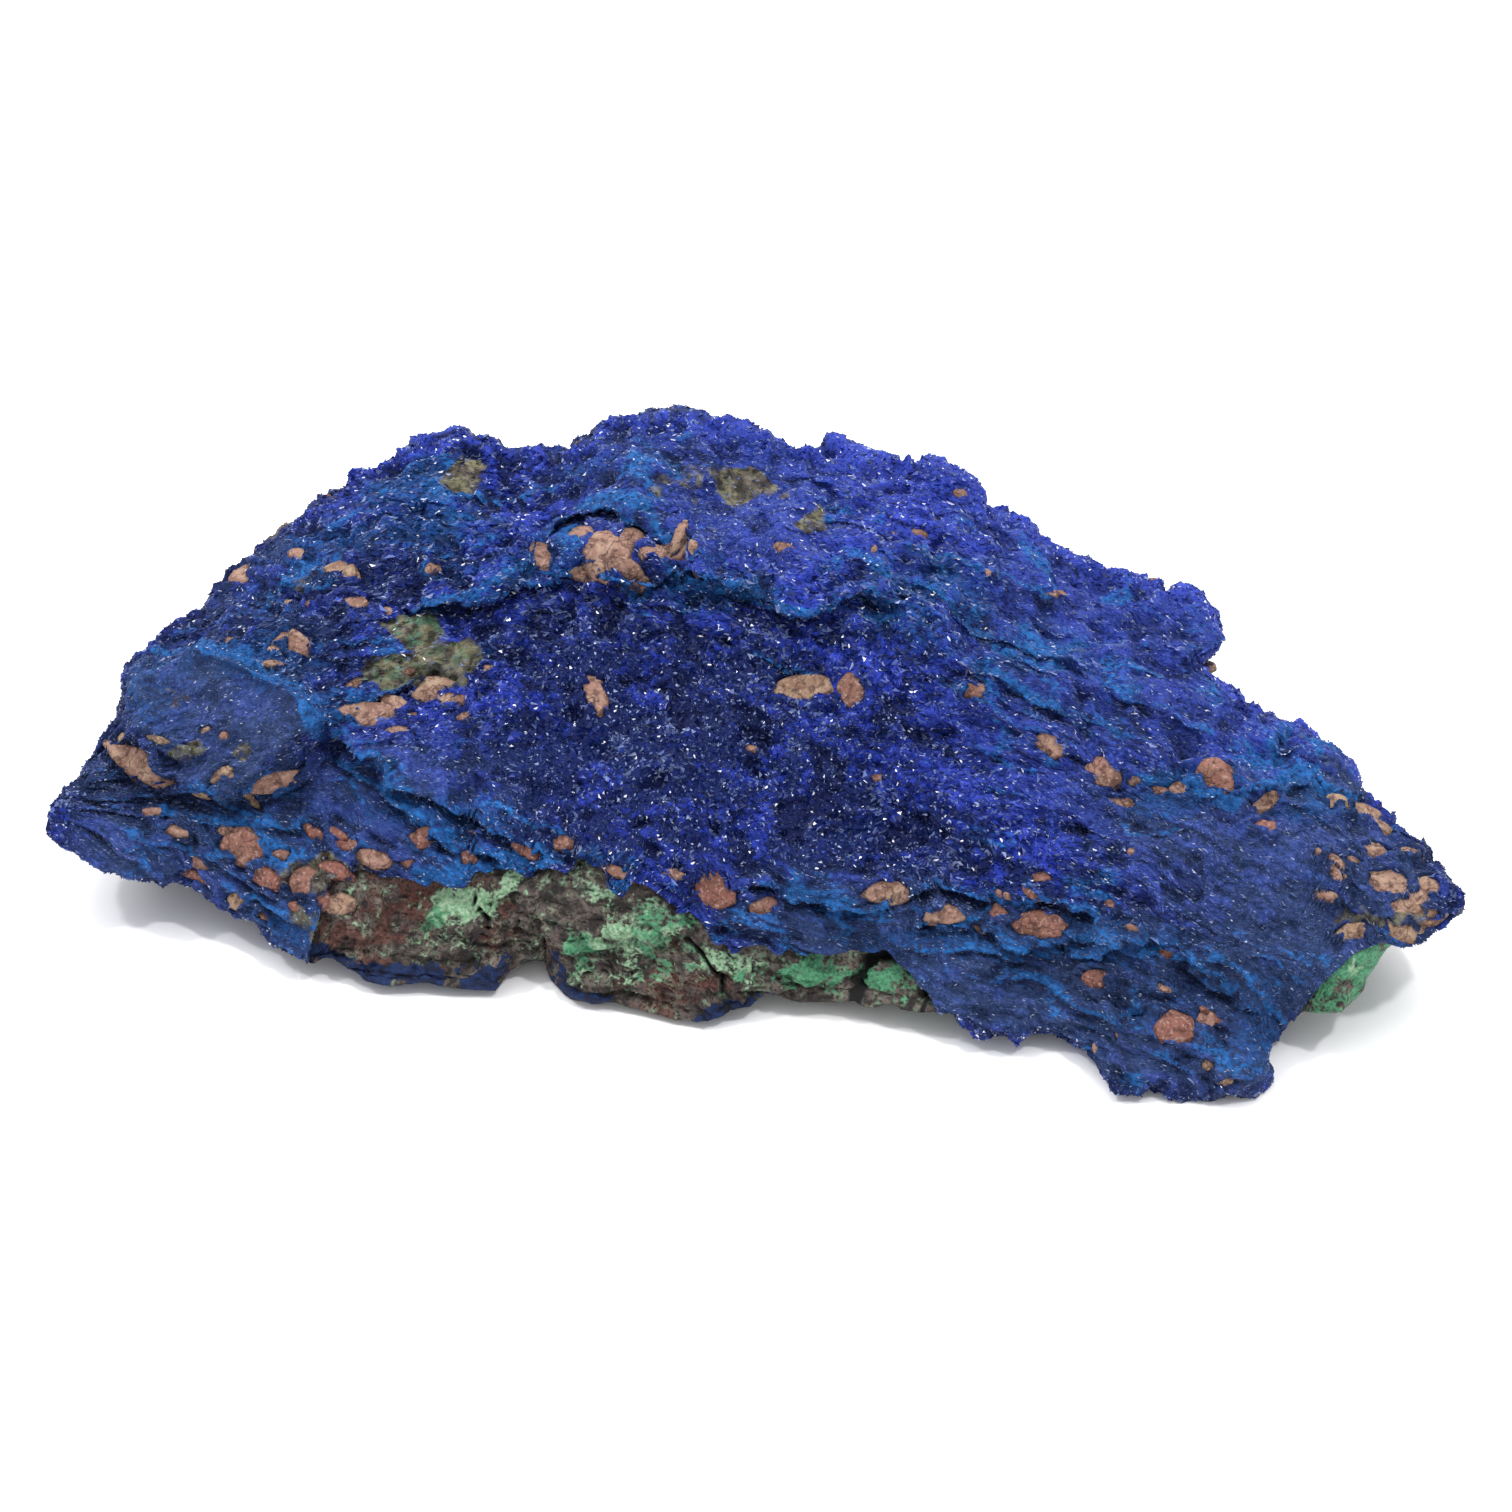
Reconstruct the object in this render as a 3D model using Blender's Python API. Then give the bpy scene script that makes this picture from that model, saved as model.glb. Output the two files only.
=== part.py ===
"""Azurite specimen: a crust of grown-together azurite on a ledge of host rock, with clay clasts set in it.

The form is worked out in millimetres and scaled once, when a mesh is made. A closed loop of the skin is
given at every station along X: v = 0 on the crest, then down the front, 0.47 at the foot, under, and up
the back. `relief` adds the ledges, the hollows and the boss; `outer` adds the lumps. One inner sheet parts
the loop into the azurite above and the host rock below.
"""

import math

import bmesh
import bpy
import numpy as np

MM = 0.001
HALF_LENGTH = 60.2
LEAN = math.radians(35.0)  # the layout plane leans back by this much; positions are (x, t) along it
PIVOT_Z = 14.0
SEAT_GAP = 0.42  # round every clast
PARTING_GAP = 0.4  # between azurite and rock
ROCK_INSET = 1.5  # how far the rock's front stands back under the crust
SHEET_BOW = 4.0
STATIONS, FRONT_COLS, SHEET_COLS, BACK_COLS = 60, 26, 7, 10
ROCK_COLS = 15
CAVITY_FROM, CAVITY_TO = -52.0, 57.5  # the rock lies inside this

CREST = [
    (-60.2, -6.2), (-59.6, -3.4), (-58.0, -1.6), (-56.2, 1.6), (-53.6, 4.6), (-53.1, 7.6), (-50.7, 10.8),
    (-48.2, 13.4), (-45.6, 16.4), (-44.8, 17.8), (-40.9, 20.1), (-38.6, 21.0), (-35.4, 24.0), (-30.3, 28.4), (-26.0, 28.5),
    (-21.8, 26.6), (-18.4, 26.1), (-15.0, 26.1), (-12.4, 28.6), (-9.0, 29.5), (-5.6, 29.6), (-1.8, 29.1),
    (1.2, 27.9), (4.2, 27.5), (7.0, 28.1), (9.7, 26.1), (12.7, 24.9), (15.2, 25.8), (17.4, 23.8), (18.4, 20.8),
    (21.6, 20.7), (23.7, 18.4), (25.9, 16.9), (29.3, 16.5), (33.5, 15.1), (36.8, 14.7), (38.0, 11.6),
    (38.8, 8.4), (39.3, 4.9), (40.5, 4.1), (44.2, 2.7), (47.1, 2.3), (50.6, -1.6), (52.4, -4.8), (54.8, -6.0),
    (58.2, -8.8), (59.7, -11.3), (60.2, -12.3),
]
CREST_Z = [
    (-60.2, 10.5), (-55, 14), (-50, 17), (-45, 20), (-40, 23), (-30, 27), (-20, 28), (-10, 32), (-5, 33),
    (0, 32), (10, 29), (17, 28), (20, 25), (30, 22), (37, 20), (40, 17), (45, 15), (50, 14), (55, 13), (60.2, 11.8),
]
FOOT = [
    (-60.2, -6.2), (-59.2, -7.2), (-56.7, -8.7), (-53.3, -10.5), (-47.7, -10.5), (-44.9, -12.8), (-41.2, -15.2),
    (-37.9, -18.2), (-36.0, -17.9), (-33.1, -19.5), (-27.7, -19.8), (-22.0, -19.7), (-21.2, -18.2), (-19.7, -17.2),
    (-17.4, -16.7), (-16.9, -18.6), (-15.4, -20.7), (-9.9, -21.2), (-4.8, -22.5), (-0.3, -21.9), (1.2, -21.1),
    (8.0, -20.3), (16.5, -21.8), (18.6, -23.4), (24.2, -23.3), (27.6, -25.0), (29.7, -28.2), (33.5, -27.4),
    (37.8, -26.8), (40.2, -27.2), (41.0, -25.8), (42.6, -22.6), (44.2, -21.2), (45.6, -20.8), (48.9, -21.0),
    (51.8, -17.8), (53.5, -16.0), (55.7, -14.8), (58.2, -13.6), (60.2, -12.3),
]
FOOT_Z = [
    (-60.2, 10), (-56, 8), (-50, 6.5), (-45, 4.5), (-38, 2.5), (-33, 1.5), (-22, 1.2), (-19, 3), (-16, 1.2),
    (-5, 1.0), (0, 1.5), (10, 3), (17, 3.5), (20, 2.5), (30, 1.5), (41.5, 1.2), (45, 4.5), (50, 6.5), (55, 9),
    (60.2, 11.5),
]
SHOULDER = [  # x, t, z along the top of the steep face
    (-60.2, -6.2, 10.5), (-55, 0, 13.5), (-50, 5, 17), (-45, 8, 19.5), (-40, 9, 21.5), (-30, 12, 24),
    (-20, 14.5, 26), (-10, 15.5, 28), (0, 14.5, 28), (10, 12, 26.5), (20, 8, 24), (30, 2, 21.5), (40, -2, 18),
    (45, -3.5, 16.5), (50, -5, 15.5), (55, -8.5, 14), (60.2, -12.3, 11.8),
]
KNEE = [  # x, t, z where the steep face turns out to the foot
    (-60.2, -6.2, 10.5), (-55, -6.2, 10.2), (-50, -6, 9.8), (-40, -8, 9.4), (-30, -9.5, 9.8), (-20, -8.5, 11),
    (-10, -11.5, 11), (0, -12.5, 10.5), (10, -11.7, 10.5), (20, -12, 11), (30, -13, 11.2), (40, -16, 11.5),
    (45, -17.5, 10.5), (50, -15.5, 10.8), (55, -13.5, 11.3), (60.2, -12.3, 11.6),
]
RAIL_V = [0.0, 0.155, 0.35, 0.47, 0.53, 0.72, 0.78, 0.93, 1.0]

MID_RIDGE = [
    (-30.7, 12.3), (-26.9, 12.8), (-22.6, 13.4), (-19.2, 14.6), (-15.4, 15.1), (-12.4, 14.8), (-9.9, 15.2),
    (-4.8, 15.5), (-0.5, 14.5), (3.7, 13), (8, 12.3), (13.5, 11.2),
]
POCKET_HOOD = [
    (-20.5, 14.3), (-19.1, 16.7), (-18, 19.1), (-15.4, 20.9), (-13.3, 21.4), (-9.9, 21.1), (-7.1, 19.9),
    (-5.6, 17.7), (-4.6, 15.9),
]
LEFT_LEDGE = [
    (-36.9, 4.3), (-35.8, 1.8), (-33.3, -0.8), (-30.3, -2.5), (-26.9, -3.7), (-23.5, -5.3), (-20.1, -7.1),
    (-16.7, -8.2),
]
LEFT_LOW = [(-35, 0.9), (-31.1, -3.3), (-28.2, -6.3), (-24.3, -8.6), (-20.1, -9)]
LOW_LEDGE = [
    (-9.9, -10.6), (-5.6, -10.7), (-1.4, -11.1), (3.7, -11.2), (8, -11.9), (12.7, -11), (17.4, -11.1),
    (20.8, -11.6), (25, -12.7), (28, -14), (28.6, -15.2),
]
FOOT_LEDGE = [
    (12.3, -14), (17.4, -14.4), (21.6, -15.7), (25.9, -16.1), (30.1, -15.3), (34.4, -15.8), (36.9, -17.8),
    (39.9, -20.3), (42.5, -21.6),
]
TIP_RIDGE = [
    (36.1, -3.6), (39.1, -3.7), (41.2, -3.1), (45.4, -2.6), (48.9, -2.6), (52.3, -3.7), (54.8, -5.9), (58.2, -8.7),
]
LEDGES = [  # line, lip height and its run above, drop and its run below
    (MID_RIDGE, 0.9, 3.5, 2.4, 4.5),
    (POCKET_HOOD, 1.4, 2.5, 1.6, 5.0),
    (LEFT_LEDGE, 0.7, 3.0, 1.8, 3.0),
    (LEFT_LOW, 0.5, 2.0, 1.1, 2.5),
    (LOW_LEDGE, 1.0, 3.0, 1.3, 3.0),
    (FOOT_LEDGE, 0.8, 3.0, 1.1, 3.0),
    (TIP_RIDGE, 0.9, 4.0, 2.0, 5.0),
]
BOSS_AT, BOSS_SIZE = (-45.3, 2.9), (8.4, 5.9)
HOLLOWS = [  # x, t, half width, half height, depth
    (-27.6, 6.2, 5.2, 3.4, 1.7),
    (-1.0, 22.8, 4.6, 2.2, 1.0),
    (-33.0, 15.5, 5.0, 2.4, 0.9),
    (7.0, 18.0, 6.0, 2.2, 0.8),
    (-3.0, -3.5, 7.0, 4.0, 0.9),
    (36.5, -17.6, 4.4, 3.4, 1.0),
]
CRUST_EDGE = [  # where the crust ends over the rock, along the front
    (-35.6, -9.0), (-32.0, -9.7), (-28.6, -11.0), (-25.9, -10.4), (-22.4, -9.9), (-19.7, -9.4), (-17.4, -9.4),
    (-16.7, -8.4), (-14.1, -9.5), (-11.5, -10.4), (-9.2, -11.8), (-5.3, -12.4), (-4.9, -14.1), (-3.8, -15.3),
    (0.3, -16.2), (3.7, -15.6), (8.2, -16.2), (11.5, -15.7), (12.2, -17.2), (14.8, -19.6), (16.9, -21.0),
]
TIP_EDGE = [(45.0, -20.2), (46.3, -19.0), (49.7, -15.9), (54.8, -14.2), (57.6, -13.2)]

# name: x, t, width, height, turn in degrees, how far it stands proud, how deep it is set
CLASTS = {
    "clast_pocket_centre": (-12.3, 17.5, 4.8, 4.2, 8, 0.9, 2.2),
    "clast_pocket_left": (-18.0, 17.2, 2.4, 2.6, 20, 0.8, 1.8),
    "clast_pocket_right": (-7.2, 17.5, 3.2, 2.1, -8, 0.8, 1.8),
    "clast_face_long": (4.0, 5.6, 4.9, 2.6, 3, 1.1, 1.8),
    "clast_face_short": (8.0, 5.6, 2.3, 2.8, 10, 1.1, 1.8),
    "clast_face_sliver": (-13.5, 5.3, 1.6, 4.0, 24, 0.6, 1.5),
    "clast_upper_left": (-35.6, 16.1, 3.3, 2.0, -14, 0.8, 1.5),
    "clast_upper_left_small": (-34.4, 12.9, 2.0, 2.4, 30, 0.8, 1.5),
    "clast_left_rim": (-44.6, 15.6, 3.0, 2.8, 25, 1.0, 2.0),
    "clast_hollow_tan": (-27.2, 5.6, 3.6, 2.4, 12, 0.9, 1.7),
    "clast_hollow_pink": (-32.4, 3.5, 4.0, 2.4, -12, 0.9, 1.7),
    "clast_boss_side": (-52.0, -0.9, 6.6, 2.4, -25, 0.9, 2.0),
    "clast_boss_under": (-40.6, -2.2, 4.6, 1.8, 10, 0.8, 1.7),
    "clast_low_left": (-43.1, -7.8, 4.2, 3.0, -12, 0.8, 2.0),
    "clast_low_left_small": (-37.9, -10.6, 2.6, 2.2, 15, 0.8, 1.7),
    "clast_ledge_block": (-3.4, -11.2, 3.6, 2.9, -35, 1.1, 2.2),
    "clast_ledge_chip": (0.5, -12.6, 2.2, 1.6, 5, 0.9, 1.7),
    "clast_ledge_brown": (10.8, -11.4, 3.8, 1.9, 4, 1.0, 2.0),
    "clast_shelf_long": (15.7, -13.2, 3.6, 1.5, 0, 0.9, 1.7),
    "clast_shelf_block": (23.7, -14.0, 4.8, 2.2, -4, 1.0, 2.0),
    "clast_foot_chip": (28.2, -18.6, 2.1, 1.8, 12, 0.8, 1.6),
    "clast_foot_block": (34.6, -22.5, 3.1, 3.1, 0, 1.0, 2.0),
    "clast_right_face": (29.0, -1.2, 2.9, 2.3, -20, 0.9, 1.7),
    "clast_right_face_upper": (24.6, 0.9, 2.6, 1.8, -20, 0.8, 1.6),
    "clast_right_outer": (38.2, -1.6, 3.3, 3.2, -35, 0.9, 1.8),
    "clast_tip_long": (51.4, -4.6, 4.4, 1.8, -28, 0.9, 1.6),
    "clast_tip_block": (53.3, -10.5, 3.8, 3.0, -20, 1.0, 1.9),
    "clast_tip_end": (57.4, -10.9, 2.2, 1.9, -30, 0.8, 1.4),
}
BACK_CLASTS = {  # name: x, v round the loop, width, height, turn, proud, set
    "clast_back_left": (-31.0, 0.90, 4.0, 3.0, 20, 0.9, 2.0),
    "clast_back_centre": (2.0, 0.86, 5.0, 3.4, -15, 1.0, 2.2),
    "clast_back_right": (24.0, 0.91, 3.2, 2.4, 10, 0.9, 1.8),
}
IN_ROCK_TOO = ("clast_ledge_block", "clast_ledge_chip", "clast_low_left_small", "clast_tip_block", "clast_tip_end")

SIN, COS = math.sin(LEAN), math.cos(LEAN)
OUTWARD = np.array([0.0, -COS, SIN])


def step01(x, low, high):
    w = np.clip((x - low) / (high - low), 0, 1)
    return w * w * (3 - 2 * w)


def rail(points, x, column=1):
    table = np.array(points)
    return np.interp(x, table[:, 0], table[:, column])


def smoothed(values, sigma, axis, periodic=False):
    reach = int(3 * sigma) + 1
    kernel = np.exp(-0.5 * (np.arange(-reach, reach + 1) / sigma) ** 2)
    kernel /= kernel.sum()
    pad = [(0, 0)] * values.ndim
    pad[axis] = (reach, reach)
    padded = np.pad(values, pad, mode="wrap" if periodic else "edge")
    count = values.shape[axis]
    return sum(w * np.take(padded, np.arange(i, i + count), axis=axis) for i, w in enumerate(kernel))


def depth_at(t, z):
    """Y of the point that lies at t on the layout plane's scale and at real height z."""
    return (t - (z - PIVOT_Z) * COS) / SIN


BASE_X, BASE_V = np.linspace(-HALF_LENGTH, HALF_LENGTH, 481), 256


def base_table():
    """(y, z) of the plain loft through the rails, on a dense grid of stations and loop positions."""
    x = BASE_X
    girth = np.sqrt(np.clip(1 - (np.clip(np.abs(x) - 44, 0, None) / 16.2) ** 2, 0, 1))
    crest_t, crest_z = rail(CREST, x), rail(CREST_Z, x)
    foot_t, foot_z = rail(FOOT, x), rail(FOOT_Z, x)
    shoulder_t, shoulder_z = (smoothed(rail(SHOULDER, x, c), 10, 0) for c in (1, 2))
    knee_t, knee_z = (smoothed(rail(KNEE, x, c), 10, 0) for c in (1, 2))
    span = crest_t - foot_t
    share = (shoulder_t - foot_t) / np.maximum(span, 1e-6)
    shoulder_t = foot_t + span * np.clip(share, 0.45, 0.8)
    share = (knee_t - foot_t) / np.maximum(span, 1e-6)
    knee_t = foot_t + span * np.clip(share, 0.12, 0.55)
    crest_y, foot_y = depth_at(crest_t, crest_z), depth_at(foot_t, foot_z)
    rails = [
        np.stack([crest_y, crest_z], 1),
        np.stack([depth_at(shoulder_t, shoulder_z), shoulder_z], 1),
        np.stack([depth_at(knee_t, knee_z), knee_z], 1),
        np.stack([foot_y, foot_z], 1),
        np.stack([foot_y + 4.5 * girth, np.maximum(foot_z - 2.5 * girth, -0.6)], 1),
        np.stack([crest_y - 3 * girth, (1 - girth**2) * foot_z + 0.5 - 1.1 * girth], 1),
        np.stack([crest_y + 5 * girth, 5 * girth + (1 - girth) * crest_z * 0.6], 1),
        np.stack([crest_y + 5.5 * girth, crest_z - 7.5 * girth], 1),
        np.stack([crest_y, crest_z], 1),
    ]
    v = np.arange(BASE_V) / BASE_V
    table = np.empty((len(x), BASE_V, 2))
    for k in range(len(RAIL_V) - 1):
        inside = (v >= RAIL_V[k]) & (v < RAIL_V[k + 1])
        w = ((v[inside] - RAIL_V[k]) / (RAIL_V[k + 1] - RAIL_V[k]))[None, :, None]
        table[:, inside] = rails[k][:, None] * (1 - w) + rails[k + 1][:, None] * w
    for end in (0, -1):
        table[end] = rails[0][end]
    table = smoothed(table, 2.6, 1, True)
    hidden = ((v > 0.52) & (v < 0.97))[None, :, None]
    table = np.where(hidden, smoothed(table, 3.0, 0), table)
    for end in (0, -1):
        table[end] = rails[0][end]
    return table


BASE = base_table()


def base(x, v):
    fx = np.clip((x + HALF_LENGTH) / (2 * HALF_LENGTH), 0, 1 - 1e-9) * (len(BASE_X) - 1)
    i = fx.astype(int)
    wx = (fx - i)[..., None]
    fv = (v % 1.0) * BASE_V
    j = fv.astype(int) % BASE_V
    wv = (fv - np.floor(fv))[..., None]
    k = (j + 1) % BASE_V
    low = BASE[i, j] * (1 - wx) + BASE[i + 1, j] * wx
    high = BASE[i, k] * (1 - wx) + BASE[i + 1, k] * wx
    return np.concatenate([x[..., None], low * (1 - wv) + high * wv], -1)


def hashed(i, j, k, seed):
    n = (i * 73856093) ^ (j * 19349663) ^ (k * 83492791) ^ (seed * 2654435761)
    n = (n & 0xFFFFFFFF).astype(np.uint64)
    mask = np.uint64(0xFFFFFFFF)
    n = ((n ^ (n >> np.uint64(15))) * np.uint64(0x2C1B3C6D)) & mask
    n = ((n ^ (n >> np.uint64(12))) * np.uint64(0x297A2D39)) & mask
    n = n ^ (n >> np.uint64(15))
    return n.astype(np.float64) / 4294967295.0


def noise(p, scale, seed):
    """Smooth value noise from -1 to 1 with one lump to every `scale`."""
    q = p / scale
    cell = np.floor(q)
    i = cell.astype(np.int64)
    w = q - cell
    w = w * w * w * (w * (w * 6 - 15) + 10)
    total = np.zeros(p.shape[:-1])
    for a in (0, 1):
        for b in (0, 1):
            for c in (0, 1):
                weight = np.abs(1 - a - w[..., 0]) * np.abs(1 - b - w[..., 1]) * np.abs(1 - c - w[..., 2])
                total += weight * hashed(i[..., 0] + a, i[..., 1] + b, i[..., 2] + c, seed)
    return total * 2 - 1


def fractal(p, scale, octaves, seed):
    shares = [0.5**o for o in range(octaves)]
    return sum(s * noise(p + 17.3 * o, scale * s, seed + o) for o, s in enumerate(shares)) / sum(shares)


def ridged(p, scale, octaves, seed):
    shares = [0.5**o for o in range(octaves)]
    layers = (s * (1 - 2 * np.abs(noise(p + 9.1 * o, scale * s, seed + o))) for o, s in enumerate(shares))
    return sum(layers) / sum(shares)


def line_distance(line, x, t):
    """Distance to a line of points, the side (+ above one that runs to +X) and how far along, 0 to 1."""
    points = np.array(line, float)
    lengths = np.hypot(*(points[1:] - points[:-1]).T)
    start = np.concatenate([[0], np.cumsum(lengths)])
    best, side, along = np.full(x.shape, 1e9), np.zeros(x.shape), np.zeros(x.shape)
    for k in range(len(points) - 1):
        (ax, at), (dx, dt) = points[k], points[k + 1] - points[k]
        w = np.clip(((x - ax) * dx + (t - at) * dt) / lengths[k] ** 2, 0, 1)
        rx, rt = x - ax - w * dx, t - at - w * dt
        r = np.hypot(rx, rt)
        nearer = r < best
        best = np.where(nearer, r, best)
        side = np.where(nearer, np.sign(dx * rt - dt * rx), side)
        along = np.where(nearer, (start[k] + w * lengths[k]) / start[-1], along)
    return best, side, along


def relief(x, t):
    """Height of the ledges, the hollows, the boss and the flow ridges, out of the layout plane."""
    p = np.stack([x, t, np.zeros_like(x)], -1)
    wx = x + 0.9 * noise(p, 3.1, 101) + 0.35 * noise(p, 1.1, 103)
    wt = t + 0.9 * noise(p, 3.1, 102) + 0.35 * noise(p, 1.1, 104)
    height = np.zeros_like(x)
    for line, lip, lip_run, drop, drop_run in LEDGES:
        r, side, along = line_distance(line, wx, wt)
        fade = step01(along, 0, 0.07) * step01(1 - along, 0, 0.07)
        height += fade * np.where(side > 0, lip * np.exp(-r / lip_run), -drop * np.exp(-r / drop_run))
    for hx, ht, half_w, half_h, depth in HOLLOWS:
        height -= depth * np.exp(-(((wx - hx) / half_w) ** 2 + ((wt - ht) / half_h) ** 2) * 1.2)
    q = np.hypot((wx - BOSS_AT[0]) / BOSS_SIZE[0], (wt - BOSS_AT[1]) / BOSS_SIZE[1])
    height += 3.4 * (1 - step01(q, 0.85, 1.12)) + 0.8 * np.exp(-(((q - 0.93) / 0.12) ** 2))
    height -= 1.2 * np.exp(-(((q - 1.25) / 0.18) ** 2))
    for slope, pitch, run, seed, size, where in (
        (0.42, 1.6, 11.0, 31, 0.8, step01(x, -12, 14) * step01(t, -9, -2)),
        (0.38, 1.9, 12.0, 33, 0.6, step01(x, 12, 18) * (1 - step01(t, -16, -13))),
    ):
        bend = 0.5 * noise(p, 6, seed + 9)
        flow = np.stack([(t + slope * x) / pitch + bend, (x - slope * t) / run, np.zeros_like(x)], -1)
        height += size * where * ridged(flow, 1.0, 2, seed)
    return height


def outer(x, v):
    """The whole specimen's skin at station x and loop position v, with its normal."""
    h = 0.004
    p = base(x, v)
    along_v = base(x, v + h) - base(x, v - h)
    along_x = base(np.minimum(x + 0.6, HALF_LENGTH), v) - base(np.maximum(x - 0.6, -HALF_LENGTH), v)
    n = np.cross(along_v, along_x)
    n /= np.maximum(np.linalg.norm(n, axis=-1, keepdims=True), 1e-9)
    t = p[..., 1] * SIN + (p[..., 2] - PIVOT_Z) * COS
    loop = v % 1.0
    tip = step01(HALF_LENGTH - np.abs(x), 0, 5)
    front = step01(loop, -0.001, 0.05) * (1 - step01(loop, 0.43, 0.475)) * tip
    rise = 3.2 * fractal(p, 10.0, 2, 51)
    terraces = np.floor(rise) + step01(rise - np.floor(rise), 0.3, 0.7)
    lumps = 1.5 * fractal(p, 13.0, 2, 3) + 0.8 * ridged(p, 6.0, 2, 11) + 0.5 * fractal(p, 2.6, 2, 21)
    lumps = lumps + 0.4 * terraces
    p = p + (relief(p[..., 0], t) * front)[..., None] * OUTWARD
    p = p + (lumps * (0.3 + 0.7 * step01(HALF_LENGTH - np.abs(x), 0, 14)))[..., None] * n
    p[..., 2] = np.maximum(p[..., 2], 0.0)
    return p, n


def t_of(p):
    return p[..., 1] * SIN + (p[..., 2] - PIVOT_Z) * COS


def parting_table():
    """Loop positions of the parting's front and back edges, on the stations of BASE_X."""
    x = BASE_X
    v = np.linspace(0.02, 0.46, 200)
    t = t_of(base(np.repeat(x[:, None], len(v), 1), np.repeat(v[None], len(x), 0)))
    crust = np.array([np.interp(-a, -row, v) for a, row in zip(rail(CRUST_EDGE, x), t)])
    tip = np.array([np.interp(-a, -row, v) for a, row in zip(rail(TIP_EDGE, x), t)])
    under = 0.552 + 0.012 * np.sin(x * 0.37)
    band = step01(x, -40.5, -35.0) * (1 - step01(x, 14.0, 18.5))
    end = step01(x, 40.0, 48.5) * (1 - step01(x, 53.0, 58.0))
    front = under * (1 - band) * (1 - end) + crust * band + tip * end
    back = 0.80 + 0.015 * np.sin(x * 0.21 + 1) + 0.01 * np.sin(x * 0.53)
    return smoothed(front, 4.0, 0), back


PARTING = parting_table()


def parting(x):
    front, back = (np.interp(x, BASE_X, edge) for edge in PARTING)
    closed = step01(x, CAVITY_FROM, CAVITY_FROM + 5) * (1 - step01(x, CAVITY_TO - 5, CAVITY_TO))
    return front, back, closed


def sheet(x, w, shift):
    """The inner sheet from the front edge (w = 0) to the back edge (w = 1), moved down by `shift`."""
    front, back, closed = (a[:, None] for a in parting(x))
    first, _ = outer(x[:, None], front)
    last, _ = outer(x[:, None], back)
    share = w[..., None]
    inside = first * (1 - share) + last * share
    bow = SHEET_BOW * step01(HALF_LENGTH - np.abs(x), 4, 22)[:, None] * step01(front, 0.46, 0.54)
    inside[..., 2] += bow * np.sqrt(np.sin(np.pi * np.clip(w, 0, 1)))
    skin, _ = outer(np.repeat(x[:, None], w.shape[-1], 1), front + (back - front) * w)
    p = skin * (1 - closed[..., None]) + inside * closed[..., None]
    slope = np.gradient(p[..., 1:], axis=1)
    slope /= np.maximum(np.linalg.norm(slope, axis=-1, keepdims=True), 1e-9)
    p[..., 1] += shift * slope[..., 1]
    p[..., 2] -= shift * slope[..., 0]
    return p


def stations():
    u = np.linspace(-1, 1, STATIONS)[1:-1]
    return HALF_LENGTH * (0.62 * u + 0.38 * np.sin(np.pi * u / 2))


def sheet_shares(count):
    return np.repeat((0.5 - 0.5 * np.cos(np.pi * np.linspace(0, 1, SHEET_COLS + 2)))[None], count, 0)


def material(name, colour, roughness):
    made = bpy.data.materials.new(name)
    made.use_nodes = True
    shader = made.node_tree.nodes["Principled BSDF"]
    shader.inputs["Base Color"].default_value = (*colour, 1)
    shader.inputs["Roughness"].default_value = roughness
    return made


def add_object(name, points, faces, paint):
    mesh = bpy.data.meshes.new(name)
    mesh.from_pydata((np.asarray(points) * MM).tolist(), [], [list(f) for f in faces])
    mesh.update()
    bm = bmesh.new()
    bm.from_mesh(mesh)
    bmesh.ops.recalc_face_normals(bm, faces=bm.faces)
    bmesh.ops.triangulate(bm, faces=bm.faces)
    bm.to_mesh(mesh)
    bm.free()
    if paint is not None:
        mesh.materials.append(paint)
    made = bpy.data.objects.new(name, mesh)
    bpy.context.scene.collection.objects.link(made)
    return made


def lofted(name, loops, ends, paint):
    """A closed skin over loops of points, with a fan to a point at each end."""
    count, cols = loops.shape[:2]
    points = [*loops.reshape(-1, 3), *ends]
    faces = []
    for i in range(count - 1):
        for j in range(cols):
            k = (j + 1) % cols
            faces.append((i * cols + j, i * cols + k, (i + 1) * cols + k, (i + 1) * cols + j))
    first, last, row = count * cols, count * cols + 1, (count - 1) * cols
    for j in range(cols):
        k = (j + 1) % cols
        faces += [(first, k, j), (last, row + j, row + k)]
    return add_object(name, points, faces, paint)


def azurite_loops():
    x = stations()
    front, back, _ = parting(x)
    down = np.linspace(0, 1, FRONT_COLS) * front[:, None]
    up = back[:, None] + np.linspace(0, 1, BACK_COLS + 1)[:-1] * (1 - back[:, None])
    inside = sheet(x, sheet_shares(len(x)), 0.0)[:, 1:-1]
    a, _ = outer(np.repeat(x[:, None], FRONT_COLS, 1), down)
    b, _ = outer(np.repeat(x[:, None], BACK_COLS, 1), up)
    return np.concatenate([a, inside, b], 1)


def rock_loops():
    x = stations()
    x = x[parting(x)[2] > 0.85]
    front, back, _ = parting(x)
    skew = np.minimum(np.hypot(1, 140 * np.gradient(front, x)), 4)  # where the edge runs across the loop
    tip = 1 - step01(HALF_LENGTH - np.abs(x), 7, 14)
    low, high = (front + 0.014 * skew)[:, None], (back - 0.012 - 0.03 * tip)[:, None]
    v = low + np.linspace(0, 1, ROCK_COLS) * (high - low)
    a, n = outer(np.repeat(x[:, None], ROCK_COLS, 1), v)
    inset = ROCK_INSET * step01(HALF_LENGTH - np.abs(x), 4, 16)[:, None, None]
    a = a - n * (inset * np.clip(1 + 1.6 * n[..., 2:], 0, 1))
    a[..., 2] = np.maximum(a[..., 2], 0.0)
    top = sheet(x, sheet_shares(len(x)), PARTING_GAP)[:, -2:0:-1]
    return np.concatenate([a, top], 1)


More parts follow.
